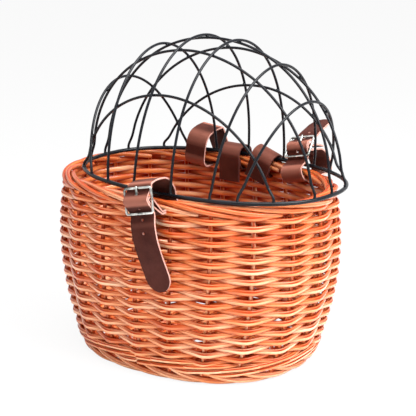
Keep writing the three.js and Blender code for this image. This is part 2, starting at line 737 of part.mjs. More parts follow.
function buckleFrame(strapWidth) {
  const half = strapWidth / 2 + BUCKLE_SIDE_CLEARANCE;
  const right = half + BUCKLE_BAR;
  const top = BUCKLE_HEIGHT / 2;
  const outline = roundedOutline(new THREE.Shape(), -right, -top, right, top, BUCKLE_CORNER);
  const inner = BUCKLE_CORNER - BUCKLE_BAR;
  const window = [BUCKLE_BAR / 2, top - BUCKLE_BAR];
  outline.holes.push(roundedOutline(new THREE.Path(), -half, window[0], half, window[1], inner));
  outline.holes.push(roundedOutline(new THREE.Path(), -half, -window[1], half, -window[0], inner));
  const plate = new THREE.ExtrudeGeometry(outline, {
    depth: BUCKLE_THICKNESS,
    bevelEnabled: false,
    curveSegments: BUCKLE_CORNER_STEPS,
  });
  plate.translate(0, 0, -BUCKLE_THICKNESS / 2);
  return plate.applyMatrix4(new THREE.Matrix4().makeBasis(alongX, alongZ, alongY.clone().negate()));
}

function buckleProng(facing) {
  const outline = new THREE.Shape();
  const corner = prongLoop * Math.tan(Math.PI / 8);
  outline.moveTo(-prongLoop, -corner);
  outline.lineTo(-corner, -prongLoop);
  outline.lineTo(corner, -prongLoop);
  outline.lineTo(prongFront, -corner);
  outline.lineTo(prongFront, prongTip);
  outline.lineTo(prongBack, prongTip);
  outline.lineTo(prongBack, prongLoop);
  outline.lineTo(-corner, prongLoop);
  outline.lineTo(-prongLoop, corner);
  outline.closePath();
  const hole = new THREE.Path();
  hole.absarc(0, 0, barCorner + PRONG_LOOP_CLEARANCE, 0, 2 * Math.PI);
  outline.holes.push(hole);
  const prong = new THREE.ExtrudeGeometry(outline, {
    depth: PRONG_WIDTH,
    bevelEnabled: false,
    curveSegments: PRONG_LOOP_STEPS,
  });
  prong.translate(0, 0, -PRONG_WIDTH / 2);
  prong.applyMatrix4(new THREE.Matrix4().makeBasis(alongY, alongZ, alongX));
  return facing < 0 ? prong.rotateZ(Math.PI) : prong;
}

// Room for the prong in the leather: a slot in the fold for its loop, and one in the free end for
// its shank at each turn of its play
function prongSlots(facing, play) {
  const width = PRONG_WIDTH + 2 * PRONG_SLOT_CLEARANCE;
  const around = foldRadius + LEATHER_THICKNESS / 2 + LAYER_GAP / 2;
  const slots = [new THREE.CylinderGeometry(around, around, width, 2 * ROD_SIDES).rotateZ(Math.PI / 2)];
  const depth = PRONG_THICKNESS + 2 * PRONG_SLOT_CLEARANCE;
  for (let i = 0; i <= PRONG_PLAY_STEPS; i++) {
    const turn = (i / PRONG_PLAY_STEPS) * play;
    const shank = new THREE.BoxGeometry(width, depth, prongTip);
    shank.translate(0, (facing * (prongBack + prongFront)) / 2, prongTip / 2 + PRONG_SLOT_CLEARANCE);
    slots.push(shank.rotateX(-facing * THREE.MathUtils.degToRad(turn)));
  }
  return slots;
}

function addBuckle(name, frame, buckle, play) {
  const { side, width } = frame.userData;
  const holder = new THREE.Group();
  holder.position.set(0, side * buckle.out, buckle.up - slitZ);
  holder.rotation.x = -side * buckle.turn;
  holder.updateMatrix();
  frame.add(holder);
  const facing = side * buckle.front;
  addPiece(`${name}_buckle_frame`, buckleFrame(width), nickel, holder);
  addPiece(`${name}_buckle_prong`, buckleProng(facing), nickel, holder);
  return prongSlots(facing, play).map((slot) => slot.applyMatrix4(holder.matrix));
}

// How far from the middle plane the rim border's inner face and the wall's outer face lie, over a
// strap's width
const strapEdges = (x, width) => [x - width / 2, x + width / 2];
const innerFaceAt = (x, width) => {
  const faces = strapEdges(x, width).map((edge) => wallWidthAt(RIM_HEIGHT, RIM_BORDER_WIDTH, edge));
  return Math.min(...faces);
};
const outerFaceAt = (x, width) => {
  const faces = strapEdges(x, width).map((edge) => wallWidthAt(slitZ, 0, edge));
  return Math.max(...faces);
};

const ringTop = ringZ + RING_WIRE_DIAMETER / 2;
const hingeY = LID_SHIFT_Y + RING_HALF_WIDTH;

// How far from the hinge line the ring's wire reaches as it turns past a strap
function ringSwing(x, width) {
  const reach = strapEdges(x - LID_SHIFT_X, width).map((edge) =>
    ovalWidthAt(RING_HALF_LENGTH, RING_HALF_WIDTH, RING_POWER, edge),
  );
  return RING_HALF_WIDTH - Math.min(...reach) + RING_WIRE_DIAMETER / 2 + GAP;
}

function closingStrap() {
  const x = CLOSING_STRAP_X;
  const width = CLOSING_STRAP_WIDTH;
  const outer = outerFaceAt(x, width);
  const ringInner = RING_HALF_WIDTH - LID_SHIFT_Y - RING_WIRE_DIAMETER / 2;
  const inside = Math.min(innerFaceAt(x, width), ringInner) - LAYER_GAP - 2 * LEATHER_THICKNESS;
  const buckle = buckleAt(
    outer + CLOSING_BUCKLE_STANDOFF,
    slitZ + CLOSING_BUCKLE_ABOVE_SLIT,
    CLOSING_BUCKLE_TILT_ANGLE,
    1,
  );
  const lower = slitZ - layerStep / 2;
  const upper = slitZ + layerStep / 2;
  const waling = outer - WALING_THICKNESS;
  const start = [inside, ringTop];
  const [behindTop, overMiddle, behindBottom] = threadPlaces(buckle);
  const hang = behindBottom[1];
  const places = [
    [waling - CHAPE_INSIDE, lower],
    [outer, lower],
    [outer + LEATHER_THICKNESS, lower],
    ...foldPlaces(buckle, CLOSING_FOLD_ANGLE).reverse(),
    [outer + LEATHER_THICKNESS / 2, upper],
    [outer, upper],
    [waling - CHAPE_INSIDE, upper],
    [inside + BORDER_CHAMFER + LEATHER_THICKNESS, upper],
    [inside, rimBorderBottom + BORDER_CHAMFER],
    [inside, RIM_HEIGHT],
    start,
    ...arch(start, behindTop, CLOSING_SLACK, CLOSING_ARCH_SHARES),
    buckle.place(behindBar, barReach + BUCKLE_BAR),
    behindTop,
    overMiddle,
    behindBottom,
    ...CLOSING_TAIL_SHARES.map(([inwards, down]) => {
      const up = hang - down * CLOSING_TAIL;
      const wall = halfWidthAt(up) + LEATHER_THICKNESS;
      return [Math.max(wall, behindBottom[0] - inwards * CLOSING_BUCKLE_STANDOFF), up];
    }),
  ];
  const path = strapPath(closingFrame, places);
  const slots = addBuckle("closing", closingFrame, buckle, 0);
  const holes = punchedHoles(path, CLOSING_HOLE_FROM_TIP, CLOSING_HOLE_PITCH, CLOSING_HOLE_COUNT);
  const strap = cutAway(strapAlong(path, width, true), [...slots, ...holes]);
  addPiece("closing_strap", strap, leather, closingFrame);
}

function hingeStrap(name, frame, x, freeEnd) {
  const { width } = frame.userData;
  const lap = innerFaceAt(x, width) - LAYER_GAP - LEATHER_THICKNESS / 2;
  const inside = lap - 2 * LAYER_GAP - LEATHER_THICKNESS;
  const outside = outerFaceAt(x, width) + LAYER_GAP + LEATHER_THICKNESS / 2;
  const dip = (width / 2) * Math.abs(Math.sin(frame.rotation.y));
  const crest = ringZ + ringSwing(x, width) + dip + HINGE_SLACK + LEATHER_THICKNESS / 2;
  const start = [inside, ringZ];
  const end = [outside, RIM_HEIGHT];
  const places = [
    [inside, slitZ - freeEnd],
    [inside, slitZ],
    [inside, RIM_HEIGHT - BORDER_CHAMFER],
    start,
    ...arch(start, end, crest - ringZ, HINGE_ARCH_SHARES),
    end,
    [outside, rimBorderBottom + BORDER_CHAMFER],
    [outside - LEATHER_THICKNESS, slitZ],
    [outside - WALING_THICKNESS, slitZ],
    [lap + BORDER_CHAMFER, slitZ],
    [lap, rimBorderBottom + BORDER_CHAMFER],
    [lap, RIM_HEIGHT - BORDER_CHAMFER],
  ];
  addPiece(name, strapAlong(strapPath(frame, places), width, false), leather, frame);
}

function leftBarStrap() {
  const x = LEFT_BAR_STRAP_X;
  const outer = outerFaceAt(x, STRAP_WIDTH);
  const swing = ringSwing(x, STRAP_WIDTH) + LAYER_GAP + LEATHER_THICKNESS / 2;
  const wall = innerFaceAt(x, LEANING_STRAP_WIDTH) - LAYER_GAP - LEATHER_THICKNESS / 2;
  const inside = Math.min(wall, hingeY - swing);
  const reach = outer + BAR_LOOP_REACH;
  const buckle = buckleAt(reach, slitZ - LEFT_BUCKLE_BELOW_SLIT, 0, 1);
  const [behindTop, overMiddle, behindBottom] = threadPlaces(buckle);
  const start = [inside, ringZ];
  const rise = swing + BAR_LOOP_SLACK;
  const chape = reach - CHAPE_LENGTH;
  const places = [
    [chape + foldRadius, slitZ - 2 * layerStep],
    ...foldPlaces(buckle).reverse(),
    [chape + foldRadius, slitZ - layerStep / 2],
    [outer + LEATHER_THICKNESS, slitZ],
    [outer - WALING_THICKNESS, slitZ],
    [inside + BORDER_CHAMFER + LEATHER_THICKNESS, slitZ],
    [inside, rimBorderBottom + BORDER_CHAMFER],
    start,
    ...arch(start, behindTop, rise, LEFT_ARCH_SHARES),
    behindTop,
    overMiddle,
    behindBottom,
    [behindBottom[0] - LEATHER_THICKNESS, behindBottom[1] - LEFT_TAIL / 2],
    [behindBottom[0] - 2 * LEATHER_THICKNESS, behindBottom[1] - LEFT_TAIL],
  ];
  const path = strapPath(leftBarFrame, places);
  const slots = addBuckle("left_handlebar", leftBarFrame, buckle, PRONG_PLAY_ANGLE);
  const holes = punchedHoles(path, BAR_HOLE_FROM_TIP, BAR_HOLE_PITCH, BAR_HOLE_COUNT);
  const strap = cutAway(strapAlong(path, STRAP_WIDTH, true), [...slots, ...holes]);
  addPiece("left_handlebar_strap", strap, leather, leftBarFrame);
}

function rightBarStrap() {
  const x = RIGHT_BAR_STRAP_X;
  const outer = outerFaceAt(x, STRAP_WIDTH);
  const inside = innerFaceAt(x, LEANING_STRAP_WIDTH) - LAYER_GAP - LEATHER_THICKNESS / 2;
  const reach = outer + BAR_LOOP_REACH;
  const buckle = buckleAt(
    hingeY - RIGHT_BUCKLE_BEFORE_HINGE,
    ringZ + RIGHT_BUCKLE_ABOVE_RING,
    RIGHT_BUCKLE_TILT_ANGLE,
    -1,
  );
  const { place } = buckle;
  const [behindTop, overMiddle, behindBottom] = threadPlaces(buckle);
  const folds = foldPlaces(buckle);
  const lowerLayer = place(-foldRadius, -foldRadius);
  const upperLayer = place(-foldRadius, foldRadius);
  const bend = [reach, slitZ + foldRadius];
  const places = [
    [upperLayer[0] + CHAPE_LENGTH, upperLayer[1] - 2 * layerStep],
    [upperLayer[0] + CHAPE_LENGTH / 2, upperLayer[1] - layerStep / 2],
    upperLayer,
    ...folds,
    lowerLayer,
    ...arch(lowerLayer, bend, bend[1] - lowerLayer[1], RIGHT_LOOP_SHARES),
    bend,
    ...arch(bend, [outer, slitZ], slitZ - bend[1], RIGHT_RETURN_SHARES),
    [outer + LEATHER_THICKNESS, slitZ],
    [outer - WALING_THICKNESS, slitZ],
    [inside + BORDER_CHAMFER + LEATHER_THICKNESS, slitZ],
    [inside, rimBorderBottom + BORDER_CHAMFER],
    [inside, RIM_HEIGHT],
    behindBottom,
    overMiddle,
    behindTop,
    ...arch(behindTop, [behindTop[0] + RIGHT_TAIL_REACH, 0], RIGHT_TAIL_RISE, RIGHT_TAIL_SHARES),
  ];
  const path = strapPath(rightBarFrame, places);
  const slots = addBuckle("right_handlebar", rightBarFrame, buckle, PRONG_PLAY_ANGLE);
  const holes = punchedHoles(path, BAR_HOLE_FROM_TIP, BAR_HOLE_PITCH, BAR_HOLE_COUNT);
  const strap = cutAway(strapAlong(path, STRAP_WIDTH, true), [...slots, ...holes]);
  addPiece("right_handlebar_strap", strap, leather, rightBarFrame);
}

closingStrap();
hingeStrap("left_hinge_strap", leftHingeFrame, LEFT_HINGE_STRAP_X, LEFT_HINGE_FREE_END);
hingeStrap("right_hinge_strap", rightHingeFrame, RIGHT_HINGE_STRAP_X, RIGHT_HINGE_FREE_END);
leftBarStrap();
rightBarStrap();

export default basket;
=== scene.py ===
import math

import bmesh
import bpy
import numpy as np
from mathutils import Matrix, Vector


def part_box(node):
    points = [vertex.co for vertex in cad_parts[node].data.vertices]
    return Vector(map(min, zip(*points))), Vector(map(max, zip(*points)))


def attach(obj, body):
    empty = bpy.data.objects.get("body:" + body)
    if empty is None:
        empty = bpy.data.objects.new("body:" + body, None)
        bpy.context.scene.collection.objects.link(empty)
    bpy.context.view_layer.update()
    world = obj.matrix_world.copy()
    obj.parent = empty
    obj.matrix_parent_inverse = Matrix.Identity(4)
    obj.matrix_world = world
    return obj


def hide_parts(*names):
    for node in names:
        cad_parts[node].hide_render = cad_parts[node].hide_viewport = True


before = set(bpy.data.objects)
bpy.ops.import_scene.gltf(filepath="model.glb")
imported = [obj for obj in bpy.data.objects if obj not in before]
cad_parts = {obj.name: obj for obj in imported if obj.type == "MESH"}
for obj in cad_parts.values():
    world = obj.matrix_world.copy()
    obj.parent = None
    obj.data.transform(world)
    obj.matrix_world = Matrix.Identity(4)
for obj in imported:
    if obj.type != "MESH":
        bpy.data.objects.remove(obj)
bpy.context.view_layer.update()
scene = bpy.context.scene
scene.view_settings.view_transform = "Standard"


# Camera. It stands where the photographer stood, to the right of the front and a little above the
# rim. The photograph is 416 pixels square.
PHOTO_PIXELS = 416
FOCAL_PIXELS = 1550.1
SENSOR_WIDTH = 36
CAMERA_AZIMUTH = 37.55
CAMERA_ELEVATION = 14.93
CAMERA_DISTANCE = 2.304
AIM_HEIGHT = 0.2172
AIM_RIGHT = 0.0152


def put(name, data):
    """A new object in the scene."""
    made = bpy.data.objects.new(name, data)
    scene.collection.objects.link(made)
    return made


def face_basket(thing, azimuth, elevation, distance, aside=0):
    """Stands a camera or a lamp somewhere round the basket, and turns it towards the basket."""
    turn, rise = math.radians(azimuth), math.radians(elevation)
    across = Vector((math.cos(turn), math.sin(turn), 0))
    flat = Vector((math.sin(turn), -math.cos(turn), 0))
    away = flat * math.cos(rise) + Vector((0, 0, math.sin(rise)))
    thing.location = Vector((0, 0, AIM_HEIGHT)) + across * aside + away * distance
    thing.rotation_mode = "QUATERNION"
    thing.rotation_quaternion = (-away).to_track_quat("-Z", "Y")


camera = put("camera", bpy.data.cameras.new("camera"))
camera.data.sensor_width = SENSOR_WIDTH
camera.data.lens = FOCAL_PIXELS / PHOTO_PIXELS * SENSOR_WIDTH
face_basket(camera, CAMERA_AZIMUTH, CAMERA_ELEVATION, CAMERA_DISTANCE, AIM_RIGHT)
scene.camera = camera


# Studio light. A large soft lamp on the right gives the main light, a wide one overhead reaches the
# inside, a weak one on the left opens the shade, and the white room gives the rest. Each lamp faces
# the basket.
def soft_lamp(name, azimuth, elevation, distance, size, power):
    lamp = put(name, bpy.data.lights.new(name, "AREA"))
    lamp.data.size = size
    lamp.data.energy = power
    face_basket(lamp, azimuth, elevation, distance)


soft_lamp("key_lamp", azimuth=94, elevation=42, distance=2.2, size=1.4, power=74)
soft_lamp("fill_lamp", azimuth=-20, elevation=30, distance=2.4, size=1.6, power=4)
soft_lamp("top_lamp", azimuth=60, elevation=75, distance=2.0, size=1.8, power=62)

ROOM_LIGHT = 0.25


class Field:
    """A number in a node tree, written like a plain number."""

    def __init__(self, tree, socket):
        self.tree = tree
        self.socket = socket

    def math(self, operation, *others):
        made = self.tree.nodes.new("ShaderNodeMath")
        made.operation = operation
        for slot, term in zip(made.inputs, (self, *others)):
            plug(slot, term)
        return Field(self.tree, made.outputs[0])

    def __add__(self, other):
        return self.math("ADD", other)

    def __sub__(self, other):
        return self.math("SUBTRACT", other)

    def __rsub__(self, other):
        return self.math("MULTIPLY_ADD", -1, other)

    def __mul__(self, other):
        return self.math("MULTIPLY", other)

    def __truediv__(self, other):
        return self.math("DIVIDE", other)

    def __pow__(self, other):
        return self.math("POWER", other)

    __radd__ = __add__
    __rmul__ = __mul__


def plug(slot, value):
    if isinstance(value, Field):
        value.tree.links.new(value.socket, slot)
    else:
        slot.default_value = value


def add_node(tree, kind, inputs=None, **settings):
    made = tree.nodes.new(kind)
    for key, value in settings.items():
        setattr(made, key, value)
    for key, value in (inputs or {}).items():
        plug(made.inputs[key], value)
    return made


def out(node, key=0):
    return Field(node.id_data, node.outputs[key])


room = bpy.data.worlds.new("room")
scene.world = room
room.use_nodes = True
rays = add_node(room.node_tree, "ShaderNodeLightPath")
seen = out(rays, "Is Camera Ray").math("MAXIMUM", out(rays, "Is Glossy Ray"))
strength = add_node(
    room.node_tree, "ShaderNodeMapRange", {"Value": seen, "To Min": ROOM_LIGHT, "To Max": 1}
)
background = room.node_tree.nodes["Background"]
background.inputs["Color"].default_value = (1, 1, 1, 1)
plug(background.inputs["Strength"], out(strength))


# Floor. A plain white sheet, which takes the basket's soft shadow and otherwise looks as white as
# the room behind it.
FLOOR_SIDE = 12
FLOOR_WHITENESS = 0.92


def new_material(name):
    """A new material, its node tree and its surface."""
    material = bpy.data.materials.new(name)
    material.use_nodes = True
    return material, material.node_tree, material.node_tree.nodes["Principled BSDF"]


floor_mesh = bpy.data.meshes.new("floor")
corner = FLOOR_SIDE / 2
floor_mesh.from_pydata(
    [(-corner, -corner, 0), (corner, -corner, 0), (corner, corner, 0), (-corner, corner, 0)],
    [],
    [(0, 1, 2, 3)],
)
floor = put("floor", floor_mesh)
paper, paper_tree, sheet = new_material("white_paper")
sheet.inputs["Base Color"].default_value = (0.9, 0.9, 0.9, 1)
sheet.inputs["Roughness"].default_value = 0.9
glow = add_node(paper_tree, "ShaderNodeEmission")
share = out(add_node(paper_tree, "ShaderNodeLightPath"), "Is Camera Ray") * FLOOR_WHITENESS
mixed = add_node(paper_tree, "ShaderNodeMixShader", {"Fac": share, 1: out(sheet), 2: out(glow)})
plug(paper_tree.nodes["Material Output"].inputs["Surface"], out(mixed))
floor_mesh.materials.append(paper)


# Basket's shape. The willow work follows one oval, narrow at the foot, wide at the belly and a
# little narrower at the rim. Places on it are told by how far round, how high and how far in.
BASE_HALF = (0.177, 0.1447)
BELLY_HALF = (0.220, 0.1633)
RIM_HALF = (0.2165, 0.1533)
BELLY_HEIGHT = 0.1386
RIM_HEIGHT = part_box("rim_border")[1].z
OVAL_POWER = 2.33
STAKES = 20
FRONT_STAKE_X = 0.006
OUTLINE_POINTS = 720
OUTLINE_SAMPLES = 7200


def through_three(height, at_base, at_belly, at_rim):
    """A size at a height, on the curve through its values at the base, the belly and the rim."""
    above = RIM_HEIGHT - BELLY_HEIGHT
    base = (height - BELLY_HEIGHT) * (height - RIM_HEIGHT) * (1 / (BELLY_HEIGHT * RIM_HEIGHT))
    belly = height * (height - RIM_HEIGHT) * (-1 / (BELLY_HEIGHT * above))
    rim = height * (height - BELLY_HEIGHT) * (1 / (RIM_HEIGHT * above))
    return base * at_base + belly * at_belly + rim * at_rim


def oval_point(half, power, angle):
    bend = [math.copysign(abs(v) ** (2 / power), v) for v in (math.cos(angle), math.sin(angle))]
    return Vector((half[0] * bend[0], half[1] * bend[1], 0))


def belly_outline():
    """The belly's oval as a curve that starts at the first stake and has evenly spaced points."""
    turns = [(i / OUTLINE_SAMPLES - 0.25) * 2 * math.pi for i in range(OUTLINE_SAMPLES + 1)]
    fine = [oval_point(BELLY_HALF, OVAL_POWER, turn) for turn in turns]
    runs = np.cumsum([0] + [(b - a).length for a, b in zip(fine, fine[1:])])
    wanted = (FRONT_STAKE_X + np.arange(OUTLINE_POINTS) / OUTLINE_POINTS * runs[-1]) % runs[-1]
    x = np.interp(wanted, runs, [p.x for p in fine])
    y = np.interp(wanted, runs, [p.y for p in fine])
    curve = bpy.data.curves.new("belly_outline", "CURVE")
    curve.dimensions = "3D"
    spline = curve.splines.new("POLY")
    spline.points.add(OUTLINE_POINTS - 1)
    spline.points.foreach_set("co", np.c_[x, y, 0 * x, 0 * x + 1].ravel())
    spline.use_cyclic_u = True
    return curve, runs[-1]


outline, belly_girth = belly_outline()


# Rods on the wall. Geometry Nodes lay every willow rod: a tree works out where each point of a
# rod lies on the basket's oval, and a round section is then swept along it.
NOISE_GAIN = 2.6
ROD_JUMP = 7.3
SIZE_SEED = 31
PATH_SEED = 57
MOST_FORWARD = 1.12
NEVER_ZERO = 0.001


def new_tree(name, inputs, kind="GeometryNodeTree"):
    """A node group with named inputs, and each input as a field."""
    tree = bpy.data.node_groups.new(name, kind)
    kinds = {float: "Float", int: "Int"}
    for key, value in inputs.items():
        socket_type = "NodeSocket" + kinds.get(type(value), str(value))
        socket = tree.interface.new_socket(key, in_out="INPUT", socket_type=socket_type)
        if type(value) in kinds:
            socket.default_value = value
    entry = tree.nodes.new("NodeGroupInput")
    return tree, {key: out(entry, key) for key in inputs}


def give(tree, kind, **values):
    """Gives a node group its outputs."""
    for key in values:
        tree.interface.new_socket(key, in_out="OUTPUT", socket_type="NodeSocket" + kind)
    leave = tree.nodes.new("NodeGroupOutput")
    for key, value in values.items():
        plug(leave.inputs[key], value)


def vector(tree, x, y, z):
    return out(add_node(tree, "ShaderNodeCombineXYZ", {"X": x, "Y": y, "Z": z}))


def wall_point_tree():
    """Gives the point of the wall at a share of the way round, a height and an inset."""
    levels = {"Base": BASE_HALF, "Belly": BELLY_HALF, "Rim": RIM_HALF}
    sides = ("Length", "Width")
    inputs = {"Outline": "Geometry", "Around": 0.0, "Height": 0.0, "Inset": 0.0}
    for level, half in levels.items():
        inputs |= {f"{level} Half {side}": size for side, size in zip(sides, half)}
    tree, field = new_tree("Point on the wall", inputs)
    around = field["Around"].math("FRACT")
    sample = add_node(
        tree, "GeometryNodeSampleCurve", {"Curves": field["Outline"], "Factor": around}, mode="FACTOR"
    )
    split = add_node(tree, "ShaderNodeSeparateXYZ", {"Vector": out(sample, "Position")})
    place = []
    for axis, side in enumerate(sides):
        half = through_three(field["Height"], *[field[f"{level} Half {side}"] for level in levels])
        place.append((half - field["Inset"]) * out(split, axis) / field[f"Belly Half {side}"])
    give(tree, "Vector", Position=vector(tree, *place, field["Height"]))
    return tree


wall_point = wall_point_tree()


def mark(tree, geometry, **values):
    """Keeps numbers on a geometry's points, under the names that the materials read."""
    for name, value in values.items():
        marked = add_node(
            tree,
            "GeometryNodeStoreNamedAttribute",
            {"Geometry": geometry, "Name": name, "Value": value},
            domain="POINT",
        )
        geometry = out(marked)
    return geometry


def rod_skin(tree, curves, radius, field, caps, flatness=1.0):
    """Sweeps a round or flattened section along the curves, and keeps how far round each point is."""
    circle = add_node(
        tree, "GeometryNodeCurvePrimitiveCircle", {"Resolution": field["Sides"], "Radius": 1}
    )
    scale = vector(tree, flatness, 1.0, 1.0)
    section = add_node(tree, "GeometryNodeTransform", {"Geometry": out(circle), "Scale": scale})
    turn = out(add_node(tree, "GeometryNodeSplineParameter"), "Factor")
    profile = mark(tree, out(section), turn=turn)
    swept = add_node(
        tree,
        "GeometryNodeCurveToMesh",
        {"Curve": curves, "Profile Curve": profile, "Scale": radius, "Fill Caps": caps},
    )
    return out(swept)


def lay_on_wall(tree, curves, field, around, height, inset, run, rod, depth):
    """Moves the curves' points to the wall, and marks each rod, its length and how far in it lies.
    How far in it lies sets the willow's painted shade.
    """
    place = {"Outline": field["Outline"], "Around": around, "Height": height, "Inset": inset}
    point = add_node(tree, "GeometryNodeGroup", place, node_tree=wall_point)
    laid = add_node(tree, "GeometryNodeSetPosition", {"Geometry": curves, "Position": out(point)})
    marked = mark(tree, out(laid), run=run, rod=rod, depth=depth)
    return out(add_node(tree, "GeometryNodeSetCurveNormal", {"Curve": marked}, mode="Z_UP"))


def copies_of(tree, curve, count, steps):
    """Copies of a curve, and for each point the copy that it is on and its number there."""
    starts = add_node(tree, "GeometryNodePoints", {"Count": count})
    pairs = {"Points": out(starts), "Instance": out(curve)}
    copies = out(add_node(tree, "GeometryNodeInstanceOnPoints", pairs))
    whole = out(add_node(tree, "GeometryNodeRealizeInstances", {"Geometry": copies}))
    index = out(add_node(tree, "GeometryNodeInputIndex"))
    copy = ((index + 0.5) / steps).math("FLOOR")
    return whole, copy, index - copy * steps


def per_rod(tree, rod, seed):
    """A random number from 0 to 1 for each rod."""
    made = add_node(tree, "FunctionNodeRandomValue", data_type="FLOAT")
    plug(made.inputs["ID"], rod)
    plug(made.inputs["Seed"], seed)
    return out(made, 1)


def noise(tree, place, scale, detail, **more):
    values = {"Vector": place, "Scale": scale, "Detail": detail, **more}
    return out(add_node(tree, "ShaderNodeTexNoise", values))


def unevenness(tree, rod, run, waves):
    """A slow rise and fall along each rod, from about -1 to 1."""
    place = vector(tree, run * waves, rod * ROD_JUMP, 0.0)
    return (noise(tree, place, scale=1.0, detail=1.0) - 0.5) * NOISE_GAIN


def finish_tree(tree, geometry, material):
    """Ends a tree with one plain, smooth mesh in its material."""
    smooth = add_node(tree, "GeometryNodeSetShadeSmooth", {"Geometry": geometry})
    whole = add_node(tree, "GeometryNodeRealizeInstances", {"Geometry": out(smooth)})
    dressed = add_node(tree, "GeometryNodeSetMaterial", {"Geometry": out(whole), "Material": material})
    give(tree, "Geometry", Mesh=out(dressed))
    return tree


def woven_rows_tree():
    """Closed rows of weave, which pass in front of the stakes and behind them."""
    tree, field = new_tree(
        "Woven rows",
        {
            "Outline": "Geometry",
            "Rows": 10,
            "Steps": 240,
            "Sides": 8,
            "Stakes": STAKES,
            "Stakes per Wave": 2.0,
            "First Row": 0.0,
            "First Height": 0.0,
            "Height Pitch": 0.006,
            "First Inset": 0.008,
            "Inset Pitch": 0.0,
            "Wave Depth": 0.005,
            "Kink": 0.0,
            "Front Share": 0.0,
            "Foot Droop": 0.0,
            "Rim Droop": 0.0,
            "Climb": 0.0,
            "Rod Radius": 0.003,
            "Flatness": 1.0,
            "Unevenness": 0.1,
            "Wobble": 0.0005,
            "Seed": 1,
            "Material": "Material",
        },
    )
    ring = add_node(
        tree, "GeometryNodeCurvePrimitiveCircle", {"Resolution": field["Steps"], "Radius": 1}
    )
    rings, row, step = copies_of(tree, ring, field["Rows"], field["Steps"])
    around = step / field["Steps"]
    run = around * belly_girth
    stakes_on = around * field["Stakes"] + (row + field["First Row"])
    turn = stakes_on / field["Stakes per Wave"] * (2 * math.pi)
    front = turn.math("COSINE") + field["Kink"] * (turn * 3).math("COSINE")
    pushed = (front * (1 + field["Front Share"]) + field["Front Share"]).math("MINIMUM", MOST_FORWARD)
    loops = (around * (2 * math.pi)).math("SINE") * 0.5
    uneven = unevenness(tree, row + field["Seed"] * SIZE_SEED, loops, waves=24.0)
    wander = unevenness(tree, row + field["Seed"] * PATH_SEED + 0.5, loops, waves=15.0)
    share = row / (field["Rows"] - 1 + NEVER_ZERO)
    droop = field["Foot Droop"] + (field["Rim Droop"] - field["Foot Droop"]) * share
    height = (
        field["First Height"]
        + row * field["Height Pitch"]
        - droop * front
        + field["Climb"] * turn.math("SINE")
        + field["Wobble"] * wander
    )
    inset = field["First Inset"] + row * field["Inset Pitch"] - field["Wave Depth"] * pushed
    chance = per_rod(tree, row, field["Seed"])
    radius = field["Rod Radius"] * (1 + field["Unevenness"] * (uneven + chance - 0.5))
    # How deep in the weave each point lies, which sets its painted shade.
    laid = lay_on_wall(tree, rings, field, around, height, inset, run, chance, 0.5 - 0.5 * pushed)
    skin = rod_skin(tree, laid, radius, field, False, field["Flatness"])
    return finish_tree(tree, skin, field["Material"])


def wall_rods_tree():
    """Separate rods, one for each stake, which stand up the wall or roll along it."""
    tree, field = new_tree(
        "Rods on the wall",
        {
            "Outline": "Geometry",
            "Rods": STAKES,
            "Steps": 40,
            "Sides": 10,
            "Stakes": STAKES,
            "Start": 0.0,
            "Span": 0.0,
            "Start Height": 0.0,
            "End Height": 0.1,
            "Ease": 1.0,
            "Start Inset": 0.008,
            "End Inset": 0.008,
            "Half Width": 0.0,
            "Half Height": 0.0,
            "Start Turn": 0.0,
            "End Turn": 0.0,
            "Rod Radius": 0.003,
            # How deep in the weave the rods are taken to lie, which only sets their painted shade.
            "Depth": 0.3,
            "Taper": 0.0,
            "Unevenness": 0.08,
            "Wobble": 0.0005,
            "Seed": 1,
            "Material": "Material",
        },
    )
    line = add_node(tree, "GeometryNodeCurvePrimitiveLine", {"Start": (0, 0, 0), "End": (0, 0, 1)})
    stations = add_node(
        tree, "GeometryNodeResampleCurve", {"Curve": out(line), "Count": field["Steps"]}, mode="COUNT"
    )
    lines, rod, step = copies_of(tree, stations, field["Rods"], field["Steps"])
    along = step / (field["Steps"] - 1)
    around = (rod + field["Start"] + field["Span"] * along) / field["Stakes"]
    turn = field["Start Turn"] + (field["End Turn"] - field["Start Turn"]) * along
    left = (1 - along) ** field["Ease"]
    rise = field["End Height"] - field["Start Height"]
    run = along * (field["Span"] * (belly_girth / STAKES) + rise)
    uneven = unevenness(tree, rod + field["Seed"] * SIZE_SEED, along, waves=3.0)
    wander = unevenness(tree, rod + field["Seed"] * PATH_SEED + 0.5, along, waves=4.0)
    height = (
        field["End Height"]
        + (field["Start Height"] - field["End Height"]) * left
        + field["Half Height"] * turn.math("SINE")
        + field["Wobble"] * wander
    )
    inset = (
        field["Start Inset"]
        + (field["End Inset"] - field["Start Inset"]) * along
        - field["Half Width"] * turn.math("COSINE")
        + field["Wobble"] * uneven
    )
    chance = per_rod(tree, rod, field["Seed"])
    radius = (
        field["Rod Radius"]
        * (1 - field["Taper"] * along)
        * (1 + field["Unevenness"] * (uneven + chance - 0.5))
    )
    laid = lay_on_wall(tree, lines, field, around, height, inset, run, chance, field["Depth"])
    return finish_tree(tree, rod_skin(tree, laid, radius, field, True), field["Material"])


woven_rows = woven_rows_tree()
wall_rods = wall_rods_tree()


def made_plain(source, name):
    """What an object's modifiers make of it, as a plain mesh object in its place."""
    evaluated = source.evaluated_get(bpy.context.evaluated_depsgraph_get())
    mesh = bpy.data.meshes.new_from_object(evaluated)
    mesh.name = name
    bpy.data.objects.remove(source)
    return put(name, mesh)


def grow(name, tree, start, values):
    """Runs a tree once on a curve or a mesh."""
    source = put(name + "_source", start)
    modifier = source.modifiers.new("tree", "NODES")
    modifier.node_group = tree
    for item in tree.interface.items_tree:
        if item.in_out == "INPUT" and item.name in values:
            modifier[item.identifier] = values[item.name]
    return made_plain(source, name)


# Willow finish. The rods are peeled, boiled buff and varnished, so they're honey orange with fine
# grain along them and paler where they catch the light. Shade is painted into them: they turn a deep
# red where they hide behind and between one another.
GRAIN_ROUND = 1.6
GRAIN_JUMP = 91
TONE_STRETCH = 5.0
TONE_JUMP = 57
SLOW_TONE = 1.1
ROD_TONE = 0.5


